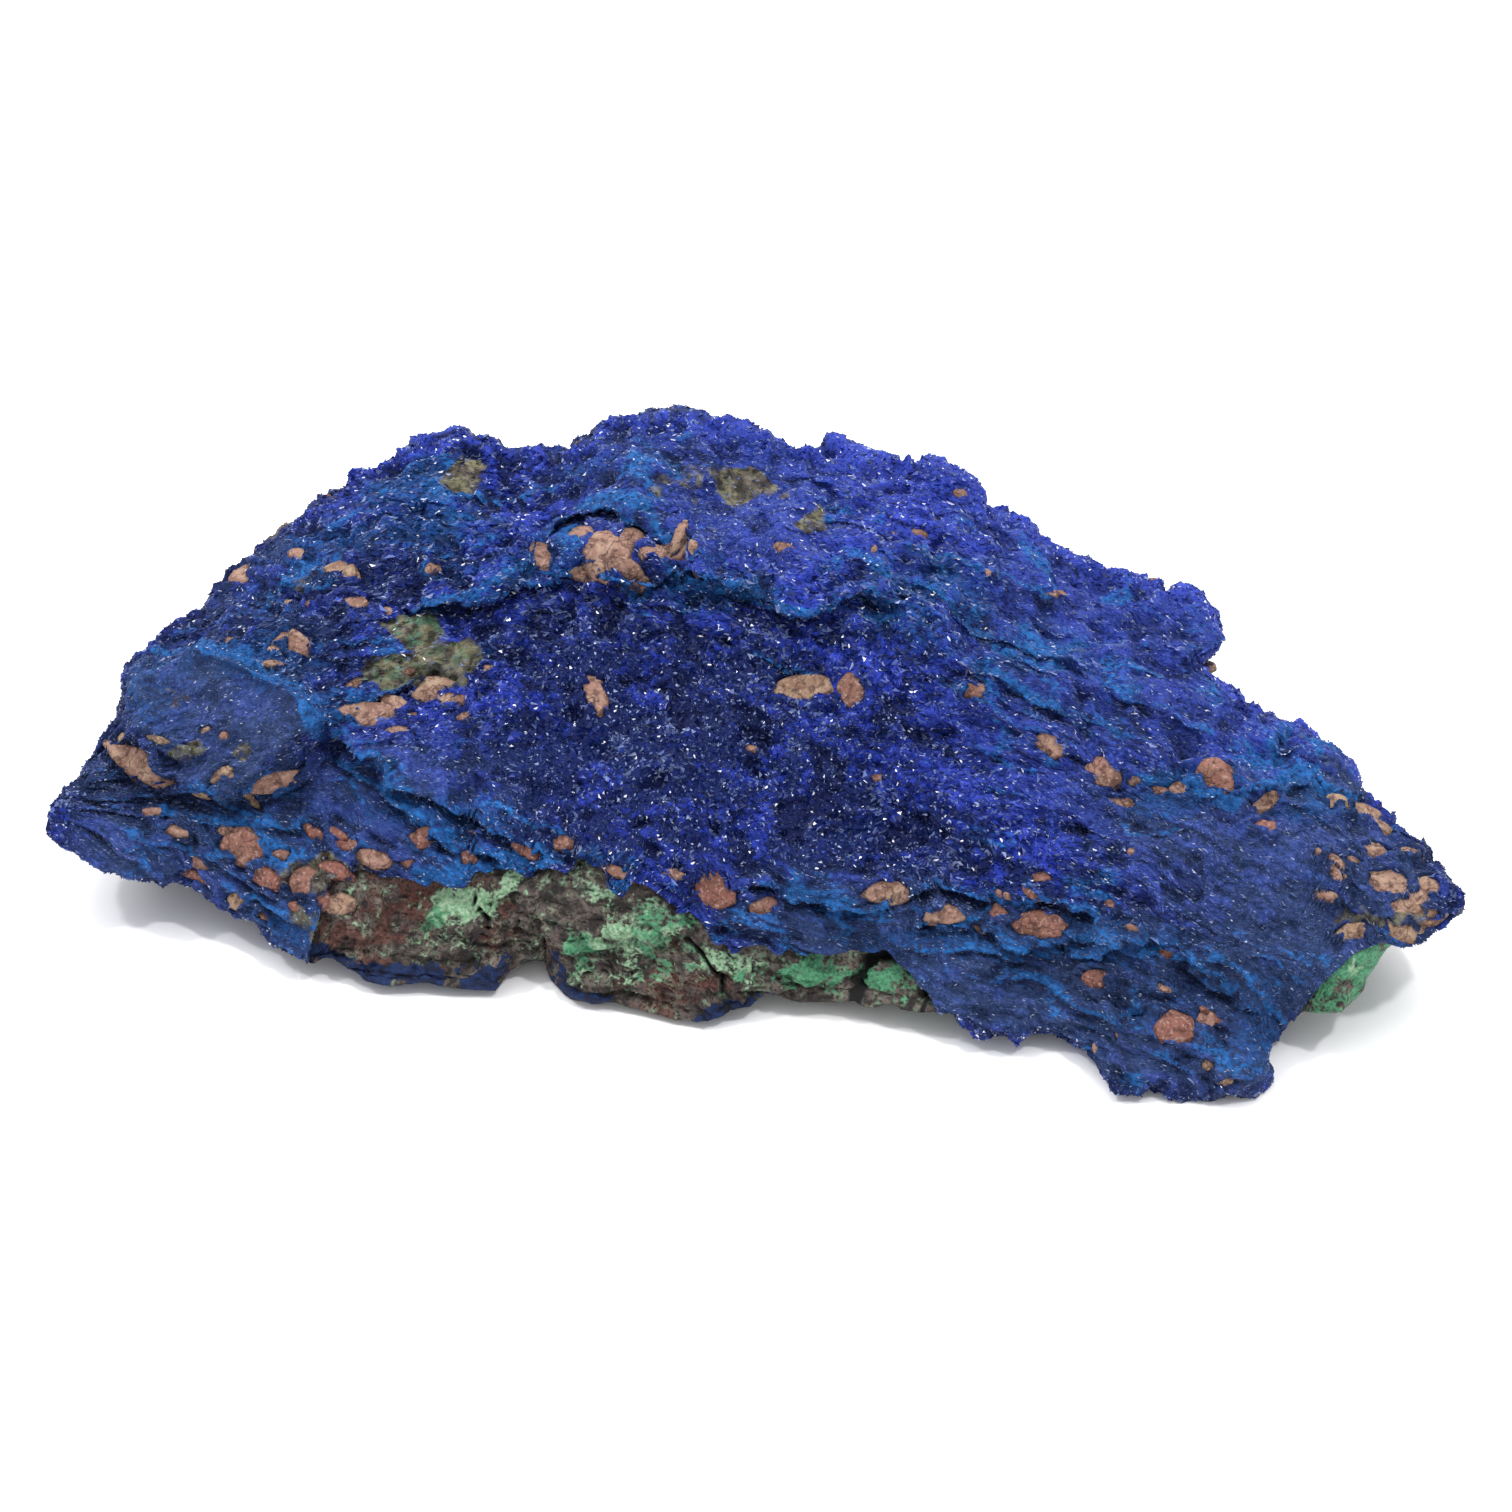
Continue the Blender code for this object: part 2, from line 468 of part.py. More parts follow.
def pebble(seed, size, grow):
    """Points of a faceted pebble with half sizes `size`, in its own frame; `grow` is added all round."""
    rng = np.random.default_rng(seed)
    count = 15
    k = np.arange(count) + 0.5
    polar, turn = np.arccos(1 - 2 * k / count), np.pi * (1 + 5**0.5) * k + rng.uniform(0, 6.28)
    d = np.stack([np.cos(turn) * np.sin(polar), np.sin(turn) * np.sin(polar), np.cos(polar)], 1)
    d += rng.normal(0, 0.13, d.shape)
    d /= np.linalg.norm(d, axis=1, keepdims=True)
    d = np.sign(d) * np.abs(d) ** 0.8 * np.array([1, 1, 1.0])
    d[:, 2] = np.clip(d[:, 2], -1, 0.62) / 0.81 + 0.235
    return d * (np.asarray(size) + grow)


def clast_frame(at, n, turn):
    up = np.array([0, SIN, COS]) - n * (n @ np.array([0, SIN, COS]))
    up /= np.linalg.norm(up)
    across = np.cross(up, n)
    c, s = math.cos(math.radians(turn)), math.sin(math.radians(turn))
    return at, np.stack([c * across + s * up, c * up - s * across, n])


def seat(x, v, turn):
    p, _ = outer(np.array([x]), np.array([v]))
    h = 1.4
    dv = outer(np.array([x]), np.array([v + 0.008]))[0] - outer(np.array([x]), np.array([v - 0.008]))[0]
    dx = outer(np.array([x + h]), np.array([v]))[0] - outer(np.array([x - h]), np.array([v]))[0]
    n = np.cross(dv, dx)[0]
    n /= np.linalg.norm(n)
    _, smooth = outer(np.array([x]), np.array([v]))
    n = 0.5 * n + smooth[0]
    return clast_frame(p[0], n / np.linalg.norm(n), turn)


def loop_position(x, t):
    """Where the front of the skin at station x crosses t."""
    v = np.linspace(0.0, 0.5, 400)
    skin, _ = outer(np.full(v.shape, x), v)
    return v[np.argmin(np.abs(t_of(skin) - t) + 0.002 * np.arange(400))]


def add_hull(name, points, paint):
    bm = bmesh.new()
    for p in points * MM:
        bm.verts.new(p)
    found = bmesh.ops.convex_hull(bm, input=bm.verts)
    loose = [e for e in found["geom_interior"] + found["geom_unused"] if isinstance(e, bmesh.types.BMVert)]
    bmesh.ops.delete(bm, geom=list(set(loose)), context="VERTS")
    bmesh.ops.recalc_face_normals(bm, faces=bm.faces)
    mesh = bpy.data.meshes.new(name)
    bm.to_mesh(mesh)
    bm.free()
    if paint is not None:
        mesh.materials.append(paint)
    made = bpy.data.objects.new(name, mesh)
    bpy.context.scene.collection.objects.link(made)
    return made


def main():
    for old in list(bpy.data.objects):
        bpy.data.objects.remove(old)
    blue = material("azurite", (0.02, 0.05, 0.32), 0.45)
    brown = material("host_rock", (0.13, 0.11, 0.09), 0.85)
    clay = material("clay", (0.36, 0.2, 0.14), 0.9)
    tips = outer(np.array([-HALF_LENGTH, HALF_LENGTH]), np.zeros(2))[0]
    azurite = lofted("azurite_mass", azurite_loops(), tips, blue)
    loops = rock_loops()
    rock = lofted("host_rock", loops, loops[[0, -1]].mean(1), brown)
    placed = [(n, c[0], loop_position(c[0], c[1]), *c[2:]) for n, c in CLASTS.items()]
    placed += [(n, *c) for n, c in BACK_CLASTS.items()]
    for seed, (name, x, v, width, height, turn, proud, depth) in enumerate(placed):
        at, axes = seat(x, v, turn)
        half = (proud + depth) / 2
        middle = at + axes[2] * (proud - half)
        size = (width / 2, height / 2, half)
        add_hull(name, middle + pebble(seed, size, 0.0) @ axes, clay)
        cutter = add_hull("socket_" + name, middle + pebble(seed, size, SEAT_GAP) @ axes, None)
        cutter.hide_render = True
        cutter.display_type = "WIRE"
        for body in (azurite, rock) if name in IN_ROCK_TOO else (azurite,):
            cut = body.modifiers.new(name, "BOOLEAN")
            cut.operation = "DIFFERENCE"
            cut.solver = "EXACT"
            cut.object = cutter
    # centre the whole on its own base
    graph = bpy.context.evaluated_depsgraph_get()
    low, high = np.full(3, 1e9), np.full(3, -1e9)
    for body in bpy.data.objects:
        if not body.hide_render:
            made = body.evaluated_get(graph).to_mesh()
            co = np.array([v.co[:] for v in made.vertices])
            low, high = np.minimum(low, co.min(0)), np.maximum(high, co.max(0))
            body.evaluated_get(graph).to_mesh_clear()
    shift = np.array([-(low[0] + high[0]) / 2, -(low[1] + high[1]) / 2, -low[2]])
    print("shift mm", (shift / MM).round(4), "size mm", ((high - low) / MM).round(3))
    for body in bpy.data.objects:
        for vertex in body.data.vertices:
            vertex.co = [c + s for c, s in zip(vertex.co, shift)]


main()
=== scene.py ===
"""Azurite specimen, finished.

Everything is a surface p(x, v): x runs along the specimen in millimetres, and v goes once round a loop of
its skin, from the crest (0) down the front to the foot (0.47), under, and up the back. `outer` is the form
that the solids share. `crust` adds what is too fine for them: lips that hang over, laminae, clumps of druse
and pits. The druse itself is a great many small roof-shaped crystals set on that surface, joined into a few
meshes, and the clay fragments are rounded polyhedra. All random choices are seeded.
"""

import itertools
import math
import types

import bpy
import numpy as np
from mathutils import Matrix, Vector


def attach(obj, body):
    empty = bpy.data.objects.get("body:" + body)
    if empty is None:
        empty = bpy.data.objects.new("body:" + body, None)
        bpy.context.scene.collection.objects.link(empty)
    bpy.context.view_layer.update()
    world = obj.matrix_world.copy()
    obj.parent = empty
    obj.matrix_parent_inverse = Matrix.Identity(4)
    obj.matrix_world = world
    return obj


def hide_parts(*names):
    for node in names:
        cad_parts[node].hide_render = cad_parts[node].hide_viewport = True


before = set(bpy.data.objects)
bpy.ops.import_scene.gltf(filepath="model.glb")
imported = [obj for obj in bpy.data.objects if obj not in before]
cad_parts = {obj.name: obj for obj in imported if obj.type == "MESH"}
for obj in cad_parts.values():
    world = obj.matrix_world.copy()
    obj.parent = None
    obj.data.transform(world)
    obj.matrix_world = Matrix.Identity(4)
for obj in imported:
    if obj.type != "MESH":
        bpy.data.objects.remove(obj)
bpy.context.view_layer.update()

MM = 0.001
HALF_LENGTH = 60.2
LEAN = math.radians(35.0)
PIVOT_Z = 14.0
SHIFT = np.array([-0.1063, -3.222, 0.0])  # from the layout's middle to the middle of the base, in mm
CAVITY_FROM, CAVITY_TO = -52.0, 57.5  # where rock and azurite part company, along X
SHEET_BOW, AZURITE_SHEET, ROCK_SHEET = 4.0, -0.1, 0.12  # the sheet's arch, and where each body's own one lies
STATIONS, FRONT_COLS, HEM_COLS, SHEET_COLS, BACK_COLS, ROCK_STATIONS = 390, 208, 14, 6, 34, 400
BACK_CHIPS = 70
BEND_LIMITS = (-2.5, 1.5)  # how far a fragment follows the skin's fall, in mm
CAMERA_AWAY, CAMERA_LENS = 0.56, 156.64  # in m, and in mm of focal length
SIN, COS = math.sin(LEAN), math.cos(LEAN)
OUTWARD = np.array([0.0, -COS, SIN])
UPSLOPE = np.array([0.0, SIN, COS])

# ---- the layout: positions are (x, t) on a plane that leans back by LEAN, and z is real height, in mm ----
CREST = [
    (-60.2, -6.2), (-59.6, -3.4), (-58.0, -1.6), (-56.2, 1.6), (-53.6, 4.6), (-53.1, 7.6), (-50.7, 10.8),
    (-48.2, 13.4), (-45.6, 16.4), (-44.8, 17.8), (-40.9, 20.1), (-38.6, 21.0), (-35.4, 24.0), (-30.3, 28.4),
    (-26.0, 28.5), (-21.8, 26.6), (-18.4, 26.1), (-15.0, 26.1), (-12.4, 28.6), (-9.0, 29.5), (-5.6, 29.6),
    (-1.8, 29.1), (1.2, 27.9), (4.2, 27.5), (7.0, 28.1), (9.7, 26.1), (12.7, 24.9), (15.2, 25.8),
    (17.4, 23.8), (18.4, 20.8), (21.6, 20.7), (23.7, 18.4), (25.9, 16.9), (29.3, 16.5), (33.5, 15.1),
    (36.8, 14.7), (38.0, 11.6), (38.8, 8.4), (39.3, 4.9), (40.5, 4.1), (44.2, 2.7), (47.1, 2.3),
    (50.6, -1.6), (52.4, -4.8), (54.8, -6.0), (58.2, -8.8), (59.7, -11.3), (60.2, -12.3),
]
CREST_Z = [
    (-60.2, 10.5), (-55, 14), (-50, 17), (-45, 20), (-40, 23), (-30, 27), (-20, 28), (-10, 32), (-5, 33),
    (0, 32), (10, 29), (17, 28), (20, 25), (30, 22), (37, 20), (40, 17), (45, 15), (50, 14), (55, 13),
    (60.2, 11.8),
]
FOOT = [
    (-60.2, -6.2), (-59.2, -7.2), (-56.7, -8.7), (-53.3, -10.5), (-47.7, -10.5), (-44.9, -12.8),
    (-41.2, -15.2), (-37.9, -18.2), (-36.0, -17.9), (-33.1, -19.5), (-27.7, -19.8), (-22.0, -19.7),
    (-21.2, -18.2), (-19.7, -17.2), (-17.4, -16.7), (-16.9, -18.6), (-15.4, -20.7), (-9.9, -21.2),
    (-4.8, -22.5), (-0.3, -21.9), (1.2, -21.1), (8.0, -20.3), (16.5, -21.8), (18.6, -23.4), (24.2, -23.3),
    (27.6, -25.0), (29.7, -28.2), (33.5, -27.4), (37.8, -26.8), (40.2, -27.2), (41.0, -25.8), (42.6, -22.6),
    (44.2, -21.2), (45.6, -20.8), (48.9, -21.0), (51.8, -17.8), (53.5, -16.0), (55.7, -14.8), (58.2, -13.6),
    (60.2, -12.3),
]
FOOT_Z = [
    (-60.2, 10), (-56, 8), (-50, 6.5), (-45, 4.5), (-38, 2.5), (-33, 1.5), (-22, 1.2), (-19, 3), (-16, 1.2),
    (-5, 1.0), (0, 1.5), (10, 3), (17, 3.5), (20, 2.5), (30, 1.5), (41.5, 1.2), (45, 4.5), (50, 6.5),
    (55, 9), (60.2, 11.5),
]
SHOULDER = [
    (-60.2, -6.2, 10.5), (-55, 0, 13.5), (-50, 5, 17), (-45, 8, 19.5), (-40, 9, 21.5), (-30, 12, 24),
    (-20, 14.5, 26), (-10, 15.5, 28), (0, 14.5, 28), (10, 12, 26.5), (20, 8, 24), (30, 2, 21.5),
    (40, -2, 18), (45, -3.5, 16.5), (50, -5, 15.5), (55, -8.5, 14), (60.2, -12.3, 11.8),
]
KNEE = [
    (-60.2, -6.2, 10.5), (-55, -6.2, 10.2), (-50, -6, 9.8), (-40, -8, 9.4), (-30, -9.5, 9.8),
    (-20, -8.5, 11), (-10, -11.5, 11), (0, -12.5, 10.5), (10, -11.7, 10.5), (20, -12, 11), (30, -13, 11.2),
    (40, -16, 11.5), (45, -17.5, 10.5), (50, -15.5, 10.8), (55, -13.5, 11.3), (60.2, -12.3, 11.6),
]
RAIL_V = [0.0, 0.155, 0.35, 0.47, 0.53, 0.72, 0.78, 0.93, 1.0]
MID_RIDGE = [
    (-30.7, 12.3), (-26.9, 12.8), (-22.6, 13.4), (-19.2, 14.6), (-15.4, 15.1), (-12.4, 14.8), (-9.9, 15.2),
    (-4.8, 15.5), (-0.5, 14.5), (3.7, 13), (8, 12.3), (13.5, 11.2),
]
POCKET_HOOD = [
    (-20.2, 15.6), (-18.9, 17.4), (-17.4, 18.8), (-15.4, 19.8), (-13.3, 20.2), (-9.9, 20.0), (-7.2, 18.9),
    (-5.6, 17.2), (-4.6, 15.9),
]
LEFT_LEDGE = [
    (-36.9, 4.3), (-35.8, 1.8), (-33.3, -0.8), (-30.3, -2.5), (-26.9, -3.7), (-23.5, -5.3), (-20.1, -7.1),
    (-16.7, -8.2),
]
LEFT_LOW = [(-35, 0.9), (-31.1, -3.3), (-28.2, -6.3), (-24.3, -8.6), (-20.1, -9)]
LOW_LEDGE = [
    (-9.9, -10.6), (-5.6, -10.7), (-1.4, -11.1), (3.7, -11.2), (8, -11.9), (12.7, -11), (17.4, -11.1),
    (20.8, -11.6), (25, -12.7), (28, -14), (28.6, -15.2),
]
FOOT_LEDGE = [
    (12.3, -14), (17.4, -14.4), (21.6, -15.7), (25.9, -16.1), (30.1, -15.3), (34.4, -15.8), (36.9, -17.8),
    (39.9, -20.3), (42.5, -21.6),
]
TIP_RIDGE = [
    (36.1, -3.6), (39.1, -3.7), (41.2, -3.1), (45.4, -2.6), (48.9, -2.6), (52.3, -3.7), (54.8, -5.9),
    (58.2, -8.7),
]
LEDGES = [  # line, lip height and its run above, drop and its run below, overhang
    (MID_RIDGE, 0.9, 3.5, 2.4, 4.5, 0.9),
    (POCKET_HOOD, 1.4, 2.5, 1.6, 5.0, 1.2),
    (LEFT_LEDGE, 0.7, 3.0, 1.8, 3.0, 0.9),
    (LEFT_LOW, 0.5, 2.0, 1.1, 2.5, 0.5),
    (LOW_LEDGE, 1.0, 3.0, 1.3, 3.0, 1.0),
    (FOOT_LEDGE, 0.8, 3.0, 1.1, 3.0, 0.9),
    (TIP_RIDGE, 0.4, 4.0, 0.7, 5.0, 0.0),
]
BOSS = (-45.3, 2.9, 8.4, 5.9)  # x, t, half width, half height
HOLLOWS = [  # x, t, half width, half height, depth
    (-27.6, 6.2, 5.2, 3.4, 1.7), (-1.0, 22.8, 4.6, 2.2, 1.0), (-33.0, 15.5, 5.0, 2.4, 0.9),
    (7.0, 18.0, 6.0, 2.2, 0.8), (-3.0, -3.5, 7.0, 4.0, 0.9), (36.5, -17.6, 4.4, 3.4, 1.0),
]
CRUST_EDGE = [
    (-35.6, -9.0), (-32.0, -9.7), (-28.6, -11.0), (-25.9, -10.4), (-22.4, -9.9), (-19.7, -9.4),
    (-17.4, -9.4), (-16.7, -8.4), (-14.1, -9.5), (-11.5, -10.4), (-9.2, -11.8), (-5.3, -12.4),
    (-4.9, -14.1), (-3.8, -15.3), (0.3, -16.2), (3.7, -15.6), (8.2, -16.2), (11.5, -15.7), (12.2, -17.2),
    (14.8, -19.6), (16.9, -21.0),
]
TIP_EDGE = [(45.0, -20.2), (46.3, -19.0), (49.7, -15.9), (54.8, -14.2), (57.6, -13.2)]
CLASTS = {  # node: x, t, width, height, turn, proud, set, hue (0 tan, 0.5 pink, 1 terracotta)
    "clast_pocket_centre": (-12.3, 17.5, 4.8, 4.2, 8, 0.9, 2.2, 0.45),
    "clast_pocket_left": (-18.0, 17.2, 2.4, 2.6, 20, 0.8, 1.8, 0.5),
    "clast_pocket_right": (-7.2, 17.5, 3.2, 2.1, -8, 0.8, 1.8, 0.55),
    "clast_face_long": (4.0, 5.6, 4.9, 2.6, 3, 1.1, 1.8, 0.15),
    "clast_face_short": (8.0, 5.6, 2.3, 2.8, 10, 1.1, 1.8, 0.75),
    "clast_face_sliver": (-13.5, 5.3, 1.6, 4.0, 24, 0.6, 1.5, 0.6),
    "clast_upper_left": (-35.6, 16.1, 3.3, 2.0, -14, 0.8, 1.5, 0.2),
    "clast_upper_left_small": (-34.4, 12.9, 2.0, 2.4, 30, 0.8, 1.5, 0.5),
    "clast_left_rim": (-44.6, 15.6, 3.0, 2.8, 25, 1.0, 2.0, 0.5),
    "clast_hollow_tan": (-27.2, 5.6, 3.6, 2.4, 12, 0.9, 1.7, 0.3),
    "clast_hollow_pink": (-32.4, 3.5, 4.0, 2.4, -12, 0.9, 1.7, 0.5),
    "clast_boss_side": (-52.0, -0.9, 6.6, 2.4, -25, 0.9, 2.0, 0.4),
    "clast_boss_under": (-40.6, -2.2, 4.6, 1.8, 10, 0.8, 1.7, 0.45),
    "clast_low_left": (-43.1, -7.8, 4.2, 3.0, -12, 0.8, 2.0, 0.85),
    "clast_low_left_small": (-37.9, -10.6, 2.6, 2.2, 15, 0.8, 1.7, 0.8),
    "clast_ledge_block": (-3.4, -11.2, 3.6, 2.9, -35, 1.1, 2.2, 0.95),
    "clast_ledge_chip": (0.5, -12.6, 2.2, 1.6, 5, 0.9, 1.7, 0.8),
    "clast_ledge_brown": (10.8, -11.4, 3.8, 1.9, 4, 1.0, 2.0, 0.35),
    "clast_shelf_long": (15.7, -13.2, 3.6, 1.5, 0, 0.9, 1.7, 0.4),
    "clast_shelf_block": (23.7, -14.0, 4.8, 2.2, -4, 1.0, 2.0, 0.9),
    "clast_foot_chip": (28.2, -18.6, 2.1, 1.8, 12, 0.8, 1.6, 0.95),
    "clast_foot_block": (34.6, -22.5, 3.1, 3.1, 0, 1.0, 2.0, 0.95),
    "clast_right_face": (29.0, -1.2, 2.9, 2.3, -20, 0.9, 1.7, 0.7),
    "clast_right_face_upper": (24.6, 0.9, 2.6, 1.8, -20, 0.8, 1.6, 0.6),
    "clast_right_outer": (38.2, -1.6, 3.3, 3.2, -35, 0.9, 1.8, 0.85),
    "clast_tip_long": (51.4, -4.6, 4.4, 1.8, -28, 0.9, 1.6, 0.25),
    "clast_tip_block": (53.3, -10.5, 3.8, 3.0, -20, 1.0, 1.9, 0.35),
    "clast_tip_end": (57.4, -10.9, 2.2, 1.9, -30, 0.8, 1.4, 0.3),
}
BACK_CLASTS = {  # node: x, v, width, height, turn, proud, set, hue
    "clast_back_left": (-31.0, 0.90, 4.0, 3.0, 20, 0.9, 2.0, 0.7),
    "clast_back_centre": (2.0, 0.86, 5.0, 3.4, -15, 1.0, 2.2, 0.4),
    "clast_back_right": (24.0, 0.91, 3.2, 2.4, 10, 0.9, 1.8, 0.85),
}
CHIPS = [  # x, t, width, height, turn, hue: fragments too small for a node
    (-9.9, 14.3, 1.7, 1.3, 10, 0.6), (-14.1, 15.2, 2.2, 0.8, 0, 0.45), (-39.1, 9.7, 1.5, 2.4, 20, 0.6),
    (-40.9, 7.8, 2.0, 1.0, 5, 0.2), (-39.5, 17.4, 1.8, 1.2, -15, 0.5), (-27.5, 16.1, 1.2, 1.0, 0, 0.5),
    (-44.1, -12.3, 1.9, 1.4, 30, 0.1), (-28.0, -6.5, 1.6, 1.1, 10, 0.9), (-24.2, -8.6, 1.5, 1.2, -10, 0.9),
    (-16.1, -7.4, 1.8, 1.3, 0, 0.8), (-11.5, -9.6, 2.6, 0.9, -25, 0.6), (-6.9, -9.9, 2.0, 0.8, -10, 0.6),
    (20.3, -12.9, 1.5, 1.6, 10, 0.9), (28.2, -18.7, 1.9, 1.7, 15, 1.0), (28.0, -24.2, 1.2, 1.5, 0, 0.4),
    (23.6, -10.1, 2.0, 1.5, -10, 0.9), (37.4, -21.6, 1.5, 1.2, 0, 0.7), (36.9, -25.4, 1.2, 1.0, 0, 0.1),
    (39.1, -26.7, 1.2, 0.9, 0, 0.1), (35.4, -2.9, 1.6, 1.3, -20, 0.6), (42.4, -3.9, 2.6, 1.4, 28, 0.3),
    (42.2, -5.9, 2.0, 1.6, 0, 0.9), (55.6, -8.2, 3.0, 1.7, -32, 0.35), (54.8, -14.5, 4.8, 1.6, 14, 0.12),
    (49.9, -14.6, 3.4, 1.8, 12, 0.0), (25.2, 13.8, 2.0, 1.0, -15, 0.5), (18.7, 15.4, 1.1, 0.9, 0, 0.6),
    (2.5, 17.7, 1.9, 1.0, -10, 0.6), (18.4, 5.4, 1.9, 1.3, -15, 0.8), (11.4, 18.8, 1.1, 0.8, 0, 0.6),
    (34.1, 15.6, 1.4, 0.9, -20, 0.2), (-47.5, 8.5, 1.4, 1.0, 20, 0.6), (-51.2, -4.8, 2.0, 1.0, -5, 0.7),
    (-30.1, 2.1, 2.2, 1.2, 10, 0.4), (-24.6, 3.3, 1.3, 1.0, 0, 0.5), (-22.4, 7.4, 1.3, 0.9, 0, 0.3),
    (10.2, -1.8, 1.0, 0.8, 0, 0.5), (-0.5, 0.5, 0.9, 0.7, 0, 0.6), (31.4, -8.0, 1.0, 0.8, 0, 0.7),
    (-14.7, 18.7, 2.4, 2.0, 30, 0.45), (-14.4, 15.6, 2.8, 1.3, 8, 0.45), (-10.9, 15.9, 2.8, 1.3, -20, 0.4),
    (-10.4, 18.7, 2.0, 1.8, -30, 0.5), (-8.7, 17.3, 2.2, 1.9, -20, 0.4), (-6.4, 18.9, 0.9, 2.6, -25, 0.3),
    (-5.2, 17.5, 0.9, 2.2, 10, 0.3), (-25.6, 4.9, 2.6, 1.6, -8, 0.4), (-30.6, 4.4, 2.6, 1.5, -20, 0.45),
    (-34.4, 3.8, 2.0, 1.4, 15, 0.5), (52.3, -7.9, 2.4, 1.8, -20, 0.3), (56.0, -11.9, 2.4, 1.6, -10, 0.4),
    (57.6, -13.5, 2.8, 1.3, 22, 0.15), (46.6, -8.0, 1.0, 0.8, 0, 0.6), (50.2, -8.8, 1.6, 1.0, -20, 0.4),
    (49.3, -3.8, 2.4, 1.2, -22, 0.02), (53.4, -6.0, 2.4, 1.3, -32, 0.3), (54.8, -12.6, 2.8, 1.5, -8, 0.6),
    (57.2, -13.0, 1.8, 0.9, 10, 0.3), (-52.6, 4.6, 1.7, 1.0, 15, 0.2), (-46.5, 2.1, 1.0, 0.6, 20, 0.3),
    (-44.5, 1.7, 0.9, 0.8, 0, 0.7), (-50.6, 1.4, 3.4, 0.6, -14, 0.1), (-54.2, 1.2, 1.6, 1.2, 20, 0.1),
    (-45.0, 9.8, 0.7, 1.7, 10, 0.2), (-41.2, 9.1, 1.0, 0.8, 0, 0.6), (-41.2, -10.0, 3.4, 2.2, -36, 0.95),
    (-35.4, -9.5, 2.6, 1.4, -20, 1.0), (-38.7, -12.9, 1.5, 0.9, -30, 0.9),
    (-34.9, -12.5, 2.0, 1.5, 20, 0.2), (-32.2, -8.6, 3.2, 1.7, -16, 0.6), (-46.9, -9.0, 2.4, 1.2, -20, 0.7),
    (-49.2, -6.4, 2.2, 1.3, -12, 0.4), (-39.9, -8.3, 1.3, 1.0, 0, 0.8), (-36.6, -12.2, 1.2, 1.4, 20, 1.0),
    (-41.7, -13.6, 1.3, 0.7, -30, 0.9), (-44.9, -6.2, 1.2, 0.8, 10, 0.6), (-29.5, -9.0, 1.4, 1.0, 0, 0.8),
]
SMALL_FIELDS = [  # x, t, half width, half height, count, hue: where little chips are strewn
    (-42.0, -9.0, 8.0, 2.6, 14, 0.95), (-33.0, -8.0, 6.0, 1.8, 8, 1.0), (-24.0, -7.0, 6.0, 1.2, 4, 0.9),
    (24.0, -13.0, 9.0, 1.6, 8, 0.85), (53.0, -10.5, 6.0, 3.0, 10, 0.25), (-30.0, 5.0, 5.0, 2.4, 11, 0.35),
    (-13.0, 17.0, 6.5, 1.8, 12, 0.4), (31.0, -1.5, 8.0, 3.0, 6, 0.7), (-48.0, -2.5, 6.0, 2.4, 9, 0.4),
    (-37.0, 12.5, 6.0, 4.0, 9, 0.4), (33.0, -21.0, 8.0, 5.0, 5, 0.8), (8.0, 20.0, 20.0, 4.0, 7, 0.5),
]
STAINS = [  # x, t, half width, half height, strength, green share: where rock shows through the crust
    (-29.2, 10.2, 2.6, 1.6, 1.0, 0.7), (-26.6, 7.8, 4.6, 2.0, 1.0, 0.3), (-30.8, 7.2, 3.2, 1.3, 0.8, 0.6),
    (-0.8, 23.8, 4.2, 1.9, 0.8, 0.0), (5.2, 20.4, 1.7, 1.0, 0.6, 0.1), (-25.2, 24.2, 2.2, 1.5, 0.8, 0.0),
    (-6.0, 23.0, 3.0, 1.3, 0.5, 0.0), (-39.0, 15.0, 2.6, 1.5, 0.5, 0.0), (56.0, -13.0, 3.0, 1.0, 0.6, 0.0),
    (50.6, -13.8, 3.4, 1.2, 0.7, 0.2), (-36.0, -10.0, 5.0, 1.8, 0.6, 0.0),
    (-38.6, -13.2, 2.4, 2.8, 0.6, 0.1), (-47.0, 17.0, 2.4, 1.8, 0.5, 0.3), (-47.8, 0.5, 1.3, 0.8, 0.6, 0.2),
    (-43.8, 0.1, 1.4, 0.9, 0.55, 0.1), (-49.3, 5.4, 1.3, 0.9, 0.45, 0.1), (5.0, -5.5, 1.6, 1.0, 0.35, 0.1),
    (40.0, -26.5, 2.4, 1.4, 0.4, 0.1),
]
FLOW_RISE = [  # x and how steeply the flow lines climb there
    (-60, 0.55), (-45, 0.35), (-30, 0.15), (-12, -0.15), (5, -0.33), (25, -0.42), (45, -0.5), (60, -0.55),
]
FOLDS = [  # pitch across the flow, run along it, height, sharpness of the worn crest, seed
    (3.0, 10.0, 0.9, 2.2, 611), (1.7, 7.0, 0.6, 1.6, 617), (1.0, 4.5, 0.35, 1.2, 623),
]
